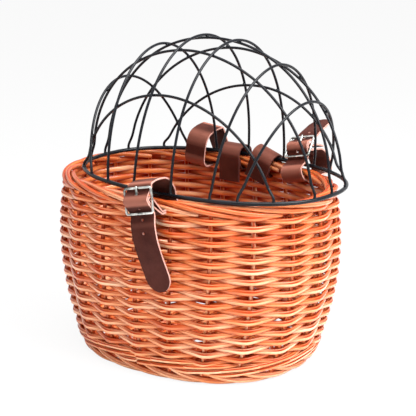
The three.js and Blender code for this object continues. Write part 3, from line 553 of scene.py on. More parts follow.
def kept(tree, name):
    """A number that was kept on the mesh's points."""
    return out(add_node(tree, "ShaderNodeAttribute", attribute_name=name), "Fac")


def grain_group():
    """Fine streaks along a rod, slow changes of tone, and a tone of its own for each rod."""
    tree, field = new_tree("Willow grain", {"Streaks": 1.0, "Streak Length": 18.0}, "ShaderNodeTree")
    run, rod = kept(tree, "run"), kept(tree, "rod")
    angle = kept(tree, "turn") * (2 * math.pi)
    across = angle.math("SINE") * GRAIN_ROUND + rod * GRAIN_JUMP
    place = vector(tree, run * field["Streak Length"], across, angle.math("COSINE") * GRAIN_ROUND)
    fine = noise(tree, place, scale=3.2, detail=4.0, Roughness=0.6)
    place = vector(tree, run * TONE_STRETCH, rod * TONE_JUMP, 0.0)
    slow = noise(tree, place, scale=1.6, detail=2.0)
    tone = (fine - 0.5) * field["Streaks"] + (slow - 0.5) * SLOW_TONE + (rod - 0.5) * ROD_TONE + 0.5
    give(tree, "Float", Tone=tone, Streak=fine)
    return tree


def gap_group():
    """Painted shade: from 0 where a rod faces out of the weave to 1 where it hides
    behind and between the others.
    """
    tree, field = new_tree("Painted shade in the weave", {"Behind": 0.6, "Between": 0.6}, "ShaderNodeTree")
    angle = kept(tree, "turn") * (2 * math.pi)
    # Painted shade on rods behind the stakes, and on each rod's top and bottom, where it touches its
    # neighbours.
    behind = (0.5 + (kept(tree, "depth") - 0.5) * angle.math("COSINE")) ** 2
    between = angle.math("SINE") ** 4
    painted_darkness = behind * field["Behind"] + between * field["Between"]
    give(tree, "Float", Gap=painted_darkness.math("MINIMUM", 1.0).math("MAXIMUM", 0.0))
    return tree


willow_grain = grain_group()
painted_weave_shade = gap_group()


def mix_colours(tree, share, first, second):
    """Mixes two colours. The mix node has its colours' sockets at places 6 and 7."""
    made = add_node(tree, "ShaderNodeMix", data_type="RGBA")
    for place, value in ((0, share), (6, first), (7, second)):
        plug(made.inputs[place], value)
    return Field(tree, made.outputs[2])


def colour_ramp(tree, value, first, last, *between):
    """Colours that follow a value. Each is given with its place."""
    ramp = add_node(tree, "ShaderNodeValToRGB", {"Fac": value})
    for element, (place, colour) in zip(ramp.color_ramp.elements, (first, last)):
        element.position = place
        element.color = (*colour, 1)
    for place, colour in between:
        ramp.color_ramp.elements.new(place).color = (*colour, 1)
    return out(ramp)


def finish_surface(shader, value, roughness, height, strength, distance=0.0004):
    """Lets the roughness follow a value, and gives the surface a fine relief."""
    tree = shader.id_data
    least, most = roughness
    rough = add_node(tree, "ShaderNodeMapRange", {"Value": value, "To Min": least, "To Max": most})
    plug(shader.inputs["Roughness"], out(rough))
    relief = {"Height": height, "Distance": distance, "Strength": strength}
    plug(shader.inputs["Normal"], out(add_node(tree, "ShaderNodeBump", relief)))


def willow_material(name, painted_shade_colour, dark, middle, light, roughness, behind, between):
    material, tree, shader = new_material(name)
    grain = add_node(tree, "ShaderNodeGroup", node_tree=willow_grain)
    painted_shade_strengths = {"Behind": behind, "Between": between}
    painted_shade_share = out(add_node(tree, "ShaderNodeGroup", painted_shade_strengths, node_tree=painted_weave_shade))
    tone = colour_ramp(tree, out(grain, "Tone"), (0.15, dark), (0.9, light), (0.5, middle))
    # The base colour turns to a deep red where shade is painted into the weave.
    plug(shader.inputs["Base Color"], mix_colours(tree, painted_shade_share, tone, (*painted_shade_colour, 1)))
    streak = out(grain, "Streak")
    finish_surface(shader, streak, (roughness - 0.08, roughness + 0.1), streak, strength=0.5)
    shader.inputs["Specular IOR Level"].default_value = 0.1
    # The varnish coat is thinned where shade is painted.
    plug(shader.inputs["Coat Weight"], 1 - painted_shade_share)
    shader.inputs["Coat Roughness"].default_value = 0.28
    return material


willow = willow_material(
    "varnished_willow",
    # The colour of the painted shade deep in the weave.
    painted_shade_colour=(0.43, 0.034, 0.003),
    dark=(0.62, 0.13, 0.03),
    middle=(0.84, 0.29, 0.085),
    light=(0.95, 0.62, 0.37),
    roughness=0.28,
    # How strongly shade is painted behind the stakes and between the rods.
    behind=1.0,
    between=0.7,
)


# Foot border. Each stake's butt bends down and to the right, lies along the foot and tucks in
# behind the next ones, which leaves a small window beside every stake.
def willow_rods(name, tree, nodes, values):
    piece = grow(name, tree, outline, {"Material": willow, **values})
    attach(piece, "basket")
    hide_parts(*nodes)


willow_rods(
    "foot_border_rods",
    wall_rods,
    ["foot_border"],
    {
        "Start": -0.1,
        "Span": 2.5,
        "Start Height": 0.024,
        "End Height": 0.0048,
        "Ease": 3.2,
        "Start Inset": 0.009,
        "End Inset": 0.009,
        "Half Width": 0.0035,
        "Start Turn": math.radians(-110),
        "End Turn": math.radians(150),
        "Rod Radius": 0.0046,
        "Taper": 0.15,
        "Sides": 12,
        "Seed": 3,
    },
)


# Lower waling. A band of rods twisted round one another and round the stakes locks the weave above
# the foot.
willow_rods(
    "lower_waling_rods",
    woven_rows,
    ["lower_waling"],
    {
        "Rows": 6,
        "Steps": 200,
        "Stakes per Wave": 3.0,
        "First Height": 0.0192,
        "Height Pitch": 0.0026,
        "First Inset": 0.0078,
        "Wave Depth": 0.0046,
        "Front Share": 0.33,
        "Climb": 0.0026,
        "Rod Radius": 0.0034,
        "Seed": 5,
    },
)


# Side weave and upper waling. Split rods, flat on the inside of their bend, go in front of one
# stake and behind the next, so that the rods in front come two rows apart at every stake, which
# shows between them. Three more rows of them are the band that the rim border sits on.
WEAVE_ROWS = 27
weave_bottom, weave_top = (corner.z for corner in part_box("side_weave"))
row_pitch = (weave_top - weave_bottom) / WEAVE_ROWS


def add_weave(name, node, first_row, rows, seed, **changes):
    values = {
        "Rows": rows,
        "First Row": first_row,
        "First Height": weave_bottom + (first_row + 0.5) * row_pitch,
        "Height Pitch": row_pitch,
        "First Inset": 0.0082,
        "Wave Depth": 0.0048,
        "Kink": 0.11,
        "Foot Droop": 0.0028,
        "Rim Droop": 0.0007,
        "Rod Radius": 0.0045,
        "Flatness": 0.55,
        "Wobble": 0.0006,
        "Seed": seed,
    }
    willow_rods(name, woven_rows, [node], values | changes)


add_weave("side_weave_rods", "side_weave", 0, WEAVE_ROWS, 11)
add_weave("upper_waling_rods", "upper_waling", WEAVE_ROWS, 3, 7, **{"Foot Droop": 0.0007})


# Stakes. Twenty upright rods of peeled willow, round which everything is woven. Their ends bend
# over into the foot border and the rim border, which keep the weave on them.
willow_rods(
    "stakes",
    wall_rods,
    [f"stake_{n:02d}" for n in range(1, STAKES + 1)],
    {
        "Steps": 30,
        "Sides": 8,
        "Start Height": 0.014,
        "End Height": 0.256,
        "Start Inset": 0.0082,
        "End Inset": 0.0082,
        "Rod Radius": 0.00325,
        # Sets how much shade is painted on the stakes.
        "Depth": 0.35,
        "Seed": 13,
    },
)


# Rim border. Each stake's top bends to the right, comes over the rim from inside and rolls down the
# outside over the next three, and its cut end shows below the border.
willow_rods(
    "rim_border_rods",
    wall_rods,
    ["rim_border"],
    {
        "Span": 3.7,
        "Steps": 64,
        "Sides": 12,
        "Start Height": 0.2590,
        "End Height": 0.2590,
        "Start Inset": 0.0100,
        "End Inset": 0.0100,
        "Half Width": 0.0067,
        "Half Height": 0.0060,
        "Start Turn": math.radians(205),
        "End Turn": math.radians(-72),
        "Rod Radius": 0.0036,
        "Taper": 0.1,
        # Sets how much shade is painted on the border's rods.
        "Depth": 0.5,
        "Seed": 17,
    },
)


# Woven base. Rows go round the oval over and under the stakes' ends, which lie flat under them,
# and short sticks pierced by long ones cross the middle.
BASE_MIDDLE = 0.007
BASE_EDGE_INSET = 0.0185
BASE_ROW_PITCH = 0.0062
BASE_ROWS = 18

willow_rods(
    "base_weave_rods",
    woven_rows,
    ["base_weave"],
    {
        "Rows": BASE_ROWS,
        "Steps": 160,
        "First Height": BASE_MIDDLE,
        "Height Pitch": 0.0,
        "First Inset": BASE_EDGE_INSET,
        "Inset Pitch": BASE_ROW_PITCH,
        "Wave Depth": 0.0,
        "Foot Droop": 0.0024,
        "Rim Droop": 0.0012,
        "Rod Radius": 0.0028,
        "Seed": 19,
    },
)
willow_rods(
    "base_ribs",
    wall_rods,
    ["base_weave"],
    {
        "Steps": 24,
        "Sides": 8,
        "Start Height": BASE_MIDDLE,
        "End Height": BASE_MIDDLE,
        "Start Inset": 0.012,
        "End Inset": 0.118,
        "Rod Radius": 0.0022,
        "Seed": 23,
    },
)


# Base sticks. Thick short sticks of willow, each split in the middle, are threaded onto three thin
# long ones, and the base is woven on that cross.
STICK_STEPS = 48
STICK_UNEVENNESS = 0.06
STICK_WAVES = 20.0


def straight_rods_tree():
    """A tapered rod along each edge of a mesh."""
    inputs = {"Edges": "Geometry", "Sides": 12, "Rod Radius": 0.004, "Taper": 0.12, "Seed": 1}
    tree, field = new_tree("Straight rods", {**inputs, "Material": "Material"})
    lines = out(add_node(tree, "GeometryNodeMeshToCurve", {"Mesh": field["Edges"]}))
    stations = {"Curve": lines, "Count": STICK_STEPS}
    fine = add_node(tree, "GeometryNodeResampleCurve", stations, mode="COUNT")
    along = add_node(tree, "GeometryNodeSplineParameter")
    run = out(along, "Length")
    index = out(add_node(tree, "GeometryNodeInputIndex"))
    chance = per_rod(tree, ((index + 0.5) / STICK_STEPS).math("FLOOR"), field["Seed"])
    uneven = STICK_UNEVENNESS * unevenness(tree, chance, run, STICK_WAVES)
    radius = field["Rod Radius"] * (1 - field["Taper"] * out(along, "Factor") + uneven)
    marked = mark(tree, out(fine), run=run, rod=chance)
    return finish_tree(tree, rod_skin(tree, marked, radius, field, True), field["Material"])


straight_rods = straight_rods_tree()


def base_sticks(kind, count, axis, seed):
    nodes = [f"{kind}_base_stick_{i + 1}" for i in range(count)]
    points = []
    for node in nodes:
        low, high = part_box(node)
        for end in (low, high):
            point = (low + high) / 2
            point[axis] = end[axis]
            points.append(point)
    radius = (high.z - low.z) / 2
    lines = bpy.data.meshes.new(f"{kind}_stick_lines")
    lines.from_pydata(points, [(2 * i, 2 * i + 1) for i in range(count)], [])
    values = {"Rod Radius": radius, "Seed": seed, "Material": willow}
    piece = grow(f"{kind}_base_sticks", straight_rods, lines, values)
    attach(piece, "basket")
    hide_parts(*nodes)


base_sticks("short", count=5, axis=1, seed=29)
base_sticks("long", count=3, axis=0, seed=31)


# Lid ring and dome. One thick steel wire is bent into an oval that lies on the rim, and eleven
# thinner ones stand on it in arches. They are welded where they meet and dipped in black plastic.
RING_WIRE = 0.006
DOME_WIRE = 0.004
WIRE_GAP = 0.0003
RING_POWER = 2.3
DOME_TOP_POWER = 1.85
DOME_SIDE_POWER = 2.1
DOME_RISE = 0.204
CROSS_WIRES = ((-0.65, -14), (-0.43, -2), (-0.165, 4), (0.155, 2), (0.45, 7), (0.63, 16))
LONG_WIRES = ((-0.615, -8), (-0.25, -4), (0.005, 4), (0.33, 6), (0.65, 11))
CURVE_STEPS = 12
HALVINGS = 40
ARCH_STEPS = 26
RING_POINTS = 240
WELD_BEAD = 0.0024

ring_low, ring_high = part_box("lid_ring")
ring_middle = (ring_low + ring_high) / 2
ring_half = [(ring_high[i] - ring_low[i] - RING_WIRE) / 2 for i in (0, 1)]


def smooth_curve(places):
    """Samples a smooth curve through the places, which keeps its shape where places lie close."""
    knots = [2 * places[0] - places[1], *places, 2 * places[-1] - places[-2]]
    samples = [places[0]]
    for before, start, end, after in zip(knots, knots[1:], knots[2:], knots[3:]):
        steps = (start - before, end - start, after - end)
        first, here, last = [math.sqrt(step.length) for step in steps]
        leaving = (start - before) / first - (end - before) / (first + here) + (end - start) / here
        arriving = (end - start) / here - (after - start) / (here + last) + (after - end) / last
        for i in range(1, CURVE_STEPS + 1):
            t = i / CURVE_STEPS
            samples.append(
                start * (2 * t**3 - 3 * t**2 + 1)
                + leaving * here * (t**3 - 2 * t**2 + t)
                + end * (3 * t**2 - 2 * t**3)
                + arriving * here * (t**3 - t**2)
            )
    return samples


def outside_dome(point, grow):
    """Below zero inside the dome and above zero outside. Its outline grows rounder towards the top."""
    rise = DOME_RISE + grow
    climb = min(max(point.z / rise, 0), 1)
    power = RING_POWER + (DOME_TOP_POWER - RING_POWER) * climb
    across = sum(abs(point[i] / (ring_half[i] + grow)) ** power for i in (0, 1))
    return across ** (DOME_SIDE_POWER / power) + abs(point.z / rise) ** DOME_SIDE_POWER - 1


def on_dome(start, direction, grow):
    """The point where a ray from inside the dome meets its surface, found by halving."""
    near, far = 0, 2 * ring_half[0]
    for _ in range(HALVINGS):
        middle = (near + far) / 2
        if outside_dome(start + direction * middle, grow) < 0:
            near = middle
        else:
            far = middle
    return start + direction * near


def out_to_ring(point):
    """The point of the ring's middle line straight out from a point at the dome's foot."""
    outwards = [0, 0, 0]
    for i in (0, 1):
        steepness = abs(point[i] / ring_half[i]) ** (RING_POWER - 1)
        outwards[i] = math.copysign(steepness, point[i]) / ring_half[i]
    return on_dome(point, Vector(outwards).normalized(), 0)


def dome_arch(share, lean, long, grow):
    """A wire's arch, in a plane through its two feet that leans from the upright."""
    along = Vector((1, 0, 0)) if long else Vector((0, 1, 0))
    leans_to = Vector((0, 1, 0)) if long else Vector((1, 0, 0))
    tilt = math.radians(lean)
    upwards = Vector((0, 0, math.cos(tilt))) + leans_to * math.sin(tilt)
    start = leans_to * share * ring_half[1 if long else 0]
    places = []
    for i in range(ARCH_STEPS + 1):
        turn = i / ARCH_STEPS * math.pi
        point = on_dome(start, along * math.cos(turn) + upwards * math.sin(turn), grow)
        if point.z > RING_WIRE / 2 + WIRE_GAP + 3 * DOME_WIRE:
            places.append(point)
    for side in (1, -1):
        foot = out_to_ring(on_dome(start, along * side, grow))
        ankle = foot + Vector((0, 0, RING_WIRE / 2 + WIRE_GAP + DOME_WIRE))
        places = [foot, ankle, *places] if side > 0 else [*places, ankle, foot]
    return [point + ring_middle for point in smooth_curve(places)]


def wire_curve(name, paths, closed=False):
    curve = bpy.data.curves.new(name, "CURVE")
    curve.dimensions = "3D"
    for path in paths:
        spline = curve.splines.new("POLY")
        spline.points.add(len(path) - 1)
        spline.points.foreach_set("co", [value for point in path for value in (*point, 1)])
        spline.use_cyclic_u = closed
    return curve


def coated_wire_tree():
    """A round coat along each wire, a little uneven where the plastic has run."""
    inputs = {"Wires": "Geometry", "Sides": 14, "Radius": 0.002, "Runs": 0.03, "Material": "Material"}
    tree, field = new_tree("Coated wire", inputs)
    place = out(add_node(tree, "GeometryNodeInputPosition"))
    runs = noise(tree, place, scale=60.0, detail=1.0)
    radius = field["Radius"] * (1 + field["Runs"] * (runs - 0.5))
    return finish_tree(tree, rod_skin(tree, field["Wires"], radius, field, True), field["Material"])


def weld_tree():
    """A bead of weld under the coat at each point of a mesh."""
    tree, field = new_tree("Weld beads", {"Places": "Geometry", "Radius": 0.0025, "Material": "Material"})
    points = out(add_node(tree, "GeometryNodeMeshToPoints", {"Mesh": field["Places"]}))
    ball = {"Segments": 16, "Rings": 10, "Radius": field["Radius"]}
    bead = out(add_node(tree, "GeometryNodeMeshUVSphere", ball))
    beads = add_node(tree, "GeometryNodeInstanceOnPoints", {"Points": points, "Instance": bead})
    return finish_tree(tree, out(beads), field["Material"])


def black_plastic():
    """Glossy black dip coating, a little bluish, with slow ripples and dull spots."""
    material, tree, shader = new_material("black_plastic_coat")
    place = out(add_node(tree, "ShaderNodeTexCoord"), "Object")
    spots = noise(tree, place, scale=26.0, detail=2.0)
    ripples = noise(tree, place, scale=220.0, detail=3.0)
    colour = colour_ramp(tree, spots, (0, (0.002, 0.0022, 0.003)), (1, (0.008, 0.0095, 0.014)))
    plug(shader.inputs["Base Color"], colour)
    finish_surface(shader, spots, (0.2, 0.34), ripples, strength=0.35, distance=0.0003)
    shader.inputs["Specular IOR Level"].default_value = 0.2
    return material


black_coat = black_plastic()
coated_wire = coated_wire_tree()
cross_arches = [dome_arch(share, lean, False, 0) for share, lean in CROSS_WIRES]
long_arches = [dome_arch(share, lean, True, -DOME_WIRE - WIRE_GAP) for share, lean in LONG_WIRES]
ring_turns = [i / RING_POINTS * 2 * math.pi for i in range(RING_POINTS)]
ring_path = [ring_middle + oval_point(ring_half, RING_POWER, turn) for turn in ring_turns]


def wire_piece(name, tree, start, radius, nodes):
    piece = grow(name, tree, start, {"Material": black_coat, "Radius": radius})
    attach(piece, "lid")
    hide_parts(*nodes)


def dome_wires(name, arches):
    nodes = [f"{name}_wire_{i + 1}" for i in range(len(arches))]
    wire_piece(f"{name}_wires", coated_wire, wire_curve(name, arches), DOME_WIRE / 2, nodes)


def crossings():
    """The places where a long wire passes under a cross wire, and where the wires stand on the ring."""
    feet = [arch[end] for arch in cross_arches + long_arches for end in (0, -1)]
    found = [foot + Vector((0, 0, RING_WIRE / 2)) for foot in feet]
    for over in cross_arches:
        for under in long_arches:
            pairs = [(a - b).length for a in over for b in under]
            nearest = int(np.argmin(pairs))
            if pairs[nearest] < 2 * DOME_WIRE:
                found.append((over[nearest // len(under)] + under[nearest % len(under)]) / 2)
    places = bpy.data.meshes.new("crossings")
    places.from_pydata(found, [], [])
    return places


wire_piece("ring_wire", coated_wire, wire_curve("ring", [ring_path], True), RING_WIRE / 2, ["lid_ring"])
dome_wires("cross", cross_arches)
dome_wires("long", long_arches)
wire_piece("weld_beads", weld_tree(), crossings(), WELD_BEAD, ["lid_ring"])


# Leather finish. Pull-up leather, dyed red brown on its smooth side, with a fine pebble grain and
# cloudy colour. The outside of each bend is made lighter, partly the paling of stretched leather and
# partly painted light on the crests. The cut edges of the buckled straps are bare and pink, and those
# of the hinge straps are dyed.
PORES_PER_PEBBLE = 0.8
PEBBLE_HEIGHT = 0.5
PORE_HEIGHT = 0.4
WRINKLE_HEIGHT = 0.5
CLOUD_TONE = 1.3
PORE_TONE = 0.8


def leather_grain_group():
    """Pebbles, pores and clouds of the hide."""
    tree, field = new_tree("Leather grain", {"Pebbles per Metre": 900.0}, "ShaderNodeTree")
    pebbles = field["Pebbles per Metre"]
    place = out(add_node(tree, "ShaderNodeTexCoord"), "Object")
    pebble = add_node(tree, "ShaderNodeTexVoronoi", {"Vector": place, "Scale": pebbles}, feature="F1")
    pores = noise(tree, place, scale=pebbles * PORES_PER_PEBBLE, detail=4.0)
    clouds = noise(tree, place, scale=38.0, detail=4.0)
    wrinkles = noise(tree, place, scale=120.0, detail=3.0, Distortion=1.2)
    height = out(pebble, "Distance") * PEBBLE_HEIGHT + pores * PORE_HEIGHT + wrinkles * WRINKLE_HEIGHT
    tone = (clouds - 0.5) * CLOUD_TONE + (pores - 0.5) * PORE_TONE + 0.5
    give(tree, "Float", Tone=tone, Height=height)
    return tree


leather_grain = leather_grain_group()


def leather_material(name, dark, light, roughness, relief, pebbles, stretched_and_lit=None):
    material, tree, shader = new_material(name)
    grain = add_node(tree, "ShaderNodeGroup", {"Pebbles per Metre": pebbles}, node_tree=leather_grain)
    tone = out(grain, "Tone")
    colour = colour_ramp(tree, tone, (0.2, dark), (0.85, light))
    if stretched_and_lit:
        # The outside of each bend is made lighter: partly stretched leather, partly painted light.
        colour = mix_colours(tree, kept(tree, "bend"), colour, (*stretched_and_lit, 1))
    plug(shader.inputs["Base Color"], colour)
    finish_surface(shader, tone, (roughness + 0.08, roughness - 0.06), out(grain, "Height"), relief)
    shader.inputs["Specular IOR Level"].default_value = 0.08
    return material


# Its last colour is the lighter one on the outside of bends, partly painted light.
smooth_leather = leather_material(
    "red_brown_leather", (0.042, 0.009, 0.006), (0.088, 0.021, 0.014), 0.55, 0.45, 900, (0.33, 0.12, 0.083)
)
leather_back = leather_material("leather_back", (0.07, 0.02, 0.015), (0.15, 0.055, 0.04), 0.8, 0.8, 1500)
dyed_edge = leather_material("dyed_leather_edge", (0.07, 0.02, 0.016), (0.15, 0.05, 0.04), 0.6, 0.5, 1500)
raw_edge = leather_material("raw_leather_edge", (0.42, 0.20, 0.16), (0.66, 0.38, 0.32), 0.7, 0.6, 1800)


# Nickel finish. The buckles are bent from steel rod and plated, so they shine with a soft haze, and
# wear has left fine scratches on them. Dark patches in their colour are painted reflections.
def plated_steel():
    material, tree, shader = new_material("nickel_plate")
    place = out(add_node(tree, "ShaderNodeTexCoord"), "Object")
    stretched = out(add_node(tree, "ShaderNodeMapping", {"Vector": place, "Scale": (90, 900, 400)}))
    haze_and_painted_reflections = noise(tree, place, scale=70.0, detail=3.0)
    scratches = noise(tree, stretched, scale=1.0, detail=5.0)
    # Slow dark patches in the colour are painted reflections; the same noise sets the haze of the
    # roughness.
    colour = colour_ramp(tree, haze_and_painted_reflections, (0.38, (0.16, 0.165, 0.15)), (0.62, (0.80, 0.80, 0.76)))
    plug(shader.inputs["Base Color"], colour)
    finish_surface(shader, haze_and_painted_reflections, (0.12, 0.3), scratches, strength=0.3, distance=0.0001)
    shader.inputs["Metallic"].default_value = 1
    return material


nickel = plated_steel()


# Leather straps. Each is 2.6 mm thick, cut straight and left unlined, the front one wider than the
# rest. It goes out through a slit under the rim's border, back over the border and the lid's ring.
STRAP_WIDTH = 0.038
CLOSING_STRAP_WIDTH = 0.044
LEATHER = 0.0026
LAYER_GAP = 0.0005
EDGE_CHAMFER = 0.0004
CREASE_INSET = 0.0024
CREASE_WIDTH = 0.0005
CREASE_DEPTH = 0.0002
STRAP_STEP = 0.0009
SLIT_HEIGHT = 0.008
WALING_THICKNESS = 0.011
RIM_BORDER_HEIGHT = 0.015
RIM_BORDER_WIDTH = 0.020
BORDER_CHAMFER = 0.004
HOLE_DIAMETER = 0.004
# Over what span the bends are measured, and which bends get the lighter colour, partly painted light.
BEND_SPAN = 0.012
STRETCH_AND_LIGHT_BENDS = (0.15, 0.85)
ROUND_END_STEPS = 20
BUCKLE_HEIGHT = 0.039
BUCKLE_BAR = 0.0034
BUCKLE_THICKNESS = 0.003
BUCKLE_CORNER = 0.005
BUCKLE_SIDE_CLEARANCE = 0.0007
BEHIND_BAR_GAP = 0.0023
PRONG_WIDTH = 0.004
PRONG_THICKNESS = 0.0022
PRONG_LOOP_WALL = 0.0015
PRONG_LOOP_GAP = 0.0002
PRONG_LOOP_TURN = 300
PRONG_LOOP_STEPS = 24
PRONG_SHANK_STEPS = 12
PRONG_THINNING = 0.35
PRONG_OVERHANG = 0.001
PRONG_SLOT_CLEARANCE = 0.0006
PRONG_SLOT_STEPS = 3
CORNER_STEPS = 8
BAR_STEPS = 8
FOLD_ANGLES = (90, 45, 0, -45, -90)

slit_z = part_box("upper_waling")[1].z - SLIT_HEIGHT / 2
rim_border_bottom = RIM_HEIGHT - RIM_BORDER_HEIGHT
ring_z = ring_middle.z
ring_top = ring_z + RING_WIRE / 2
hinge_y = ring_middle.y + ring_half[1]
bar_reach = (BUCKLE_HEIGHT - BUCKLE_BAR) / 2
behind_bar = -(BUCKLE_THICKNESS / 2 + BEHIND_BAR_GAP + LEATHER / 2)
bar_corner = math.hypot(BUCKLE_BAR / 2, BUCKLE_THICKNESS / 2)
fold_radius = bar_corner + LAYER_GAP + LEATHER / 2
over_fold = fold_radius + LEATHER + LAYER_GAP
layer_step = LEATHER + LAYER_GAP


def wall_half(height):
    """Half the basket's length and width at a height."""
    levels = zip(BASE_HALF, BELLY_HALF, RIM_HALF)
    return [through_three(height, base, belly, rim) for base, belly, rim in levels]


def oval_width_at(half, power, x):
    return half[1] * (1 - abs(x / half[0]) ** power) ** (1 / power)


def face_at(x, width, height, inset, pick):
    """How far from the middle plane the wall's face lies, over a strap's width."""
    half = [size - inset for size in wall_half(height)]
    return pick(oval_width_at(half, OVAL_POWER, x + side * width / 2) for side in (-1, 1))


def inner_face_at(x, width=STRAP_WIDTH):
    return face_at(x, width, RIM_HEIGHT, RIM_BORDER_WIDTH, min)


def outer_face_at(x, width=STRAP_WIDTH):
    return face_at(x, width, slit_z, 0, max)


def ring_swing(x):
    """How far from the hinge line the ring's wire reaches as it turns past a strap."""
    edges = [x - ring_middle.x + side * STRAP_WIDTH / 2 for side in (-1, 1)]
    reach = min(oval_width_at(ring_half, RING_POWER, edge) for edge in edges)
    return ring_half[1] - reach + RING_WIRE / 2 + WIRE_GAP


class Buckle:
    """A buckle in a strap's own plane, where out is the distance from the basket's middle plane."""

    def __init__(self, outwards, up, tilt, front):
        self.out, self.up, self.front = outwards, up, front
        self.turn = math.radians(tilt)

    def place(self, normal, along):
        sine, cosine = math.sin(self.turn), math.cos(self.turn)
        return (
            self.out + normal * self.front * cosine + along * sine,
            self.up - normal * self.front * sine + along * cosine,
        )

    def fold(self, turned_up=0):
        turns = [math.radians(angle + turned_up) for angle in FOLD_ANGLES]
        return [self.place(fold_radius * math.cos(turn), fold_radius * math.sin(turn)) for turn in turns]

    def thread(self):
        """Where the free end passes behind the top bar, over the fold and behind the bottom bar."""
        places = (behind_bar, bar_reach), (over_fold, 0), (behind_bar, -bar_reach)
        return [self.place(normal, along) for normal, along in places]


def arch(start, end, rise, shares):
    return [(start[0] + across * (end[0] - start[0]), start[1] + up * rise) for across, up in shares]


class Strap:
    """A strap's plane and the smooth line that the middle of the leather follows in it."""

    def __init__(self, x, lean, side, places, width=STRAP_WIDTH, tension=1):
        self.side = side
        self.width = width
        # The last number scales the lighter colour on the bends, partly painted light.
        self.tension = tension
        self.place = Matrix.Translation((x, 0, slit_z)) @ Matrix.Rotation(math.radians(lean), 4, "Y")
        line = smooth_curve([Vector((0, side * outwards, up - slit_z)) for outwards, up in places])
        self.line = np.array(line)
        steps = np.linalg.norm(np.diff(self.line, axis=0), axis=1)
        self.runs = np.concatenate([[0], np.cumsum(steps)])
        self.length = self.runs[-1]

    def at(self, run):
        return Vector([np.interp(run, self.runs, self.line[:, axis]) for axis in range(3)])

    def thick(self, run):
        """The leather's direction of thickness, towards its smooth side."""
        step = STRAP_STEP / 4
        tangent = (self.at(min(run + step, self.length)) - self.at(max(run - step, 0))).normalized()
        return Vector((0, -tangent.z, tangent.y)) * self.side

    def pull(self, run):
        """How much the outside of a bend is made lighter, from 0 to 1: partly stretched leather, partly
        painted light.
        """
        ends = [min(max(run + way * BEND_SPAN / 2, 0), self.length) for way in (-1, 1)]
        before, after = [self.thick(end) for end in ends]
        along = self.at(ends[1]) - self.at(ends[0])
        bend = (after - before).dot(along.normalized())
        least, most = STRETCH_AND_LIGHT_BENDS
        return self.tension * min(max((bend - least) / (most - least), 0), 1)


def strap_section():
    """The strap's section: each corner's distance from the edge, its side and its height."""
    half, chamfer = LEATHER / 2, EDGE_CHAMFER
    right = [
        (CREASE_INSET + CREASE_WIDTH, half),
        (CREASE_INSET, half - CREASE_DEPTH),
        (CREASE_INSET - CREASE_WIDTH, half),
        (chamfer, half),
        (0, half - chamfer),
        (0, chamfer - half),
        (chamfer, -half),
    ]
    left = right[::-1]
    return [(inset, side, height) for side, half in ((1, right), (-1, left)) for inset, height in half]


def strap_mesh(strap, round_end):
    """Sweeps the section along the strap's line. Its end is cut round if round_end says so."""
    half = strap.width / 2
    straight = strap.length - (half if round_end else 0)
    runs = list(np.linspace(0, straight, int(straight / STRAP_STEP)))
    if round_end:
        turns = [step / ROUND_END_STEPS * math.pi / 2 for step in range(1, ROUND_END_STEPS)]
        runs += [straight + half * math.sin(turn) for turn in turns]
    section = strap_section()
    count = len(section)
    bm = bmesh.new()
    bend = bm.verts.layers.float.new("bend")
    rings = []
    for run in runs:
        past = max(0, run - straight)
        reach = math.sqrt(half * half - past * past)
        middle, thick, pull = strap.at(run), strap.thick(run), strap.pull(run)
        ring = [
            bm.verts.new(middle + Vector((side * reach * (1 - inset / half), 0, 0)) + thick * height)
            for inset, side, height in section
        ]
        # Keeps how much lighter the leather is here, partly painted light, for the material to read.
        for corner in ring:
            corner[bend] = pull
        rings.append(ring)
    for here, after in zip(rings, rings[1:]):
        for j in range(count):
            k = (j + 1) % count
            face = bm.faces.new((here[j], here[k], after[k], after[j]))
            on_edge = 0 in (section[j][0], section[k][0])
            on_back = section[j][2] < 0 and section[k][2] < 0
            face.material_index = 1 if on_edge else 2 if on_back else 0
            face.smooth = True
            bm.edges.get((here[j], after[j])).smooth = False
    for ring in (rings[0], rings[-1]):
        bm.faces.new(ring).material_index = 1
    bmesh.ops.recalc_face_normals(bm, faces=bm.faces)
    return bm


def add_punch(cutters, radius, depth, sides, place):
    bmesh.ops.create_cone(
        cutters, cap_ends=True, segments=sides, radius1=radius, radius2=radius, depth=depth, matrix=place
    )


def punch_holes(strap, holes, cutters):
    """Adds a round punch for each hole: how far the first is from the tip, their pitch and count."""
    from_tip, pitch, count = holes
    for i in range(count):
        run = strap.length - from_tip - i * pitch
        turn = strap.thick(run).to_track_quat("Z", "X").to_matrix().to_4x4()
        place = Matrix.Translation(strap.at(run)) @ turn
        add_punch(cutters, HOLE_DIAMETER / 2, depth=2 * LEATHER, sides=24, place=place)


def buckle_place(strap, buckle):
    """Where a buckle is in its strap's plane."""
    out_and_up = Matrix.Translation((0, strap.side * buckle.out, buckle.up - slit_z))
    return out_and_up @ Matrix.Rotation(-strap.side * buckle.turn, 4, "X")


def cut_prong_slots(strap, buckle, play, cutters):
    """Adds room for the prong's loop in the fold, and for its shank in the free end."""
    width = PRONG_WIDTH + 2 * PRONG_SLOT_CLEARANCE
    place = buckle_place(strap, buckle)
    around = fold_radius + LEATHER / 2 + LAYER_GAP / 2
    across = Matrix.Rotation(math.pi / 2, 4, "Y")
    add_punch(cutters, around, depth=width, sides=32, place=place @ across)
    facing = strap.side * buckle.front
    depth = PRONG_THICKNESS + 2 * PRONG_SLOT_CLEARANCE
    shank = Matrix.Translation((0, facing * prong_middle, prong_tip / 2 + PRONG_SLOT_CLEARANCE))
    size = Matrix.Diagonal((width, depth, prong_tip, 1))
    for i in range(PRONG_SLOT_STEPS + 1 if play else 1):
        swing = Matrix.Rotation(-facing * math.radians(play * i / PRONG_SLOT_STEPS), 4, "X")
        bmesh.ops.create_cube(cutters, size=1, matrix=place @ swing @ shank @ size)


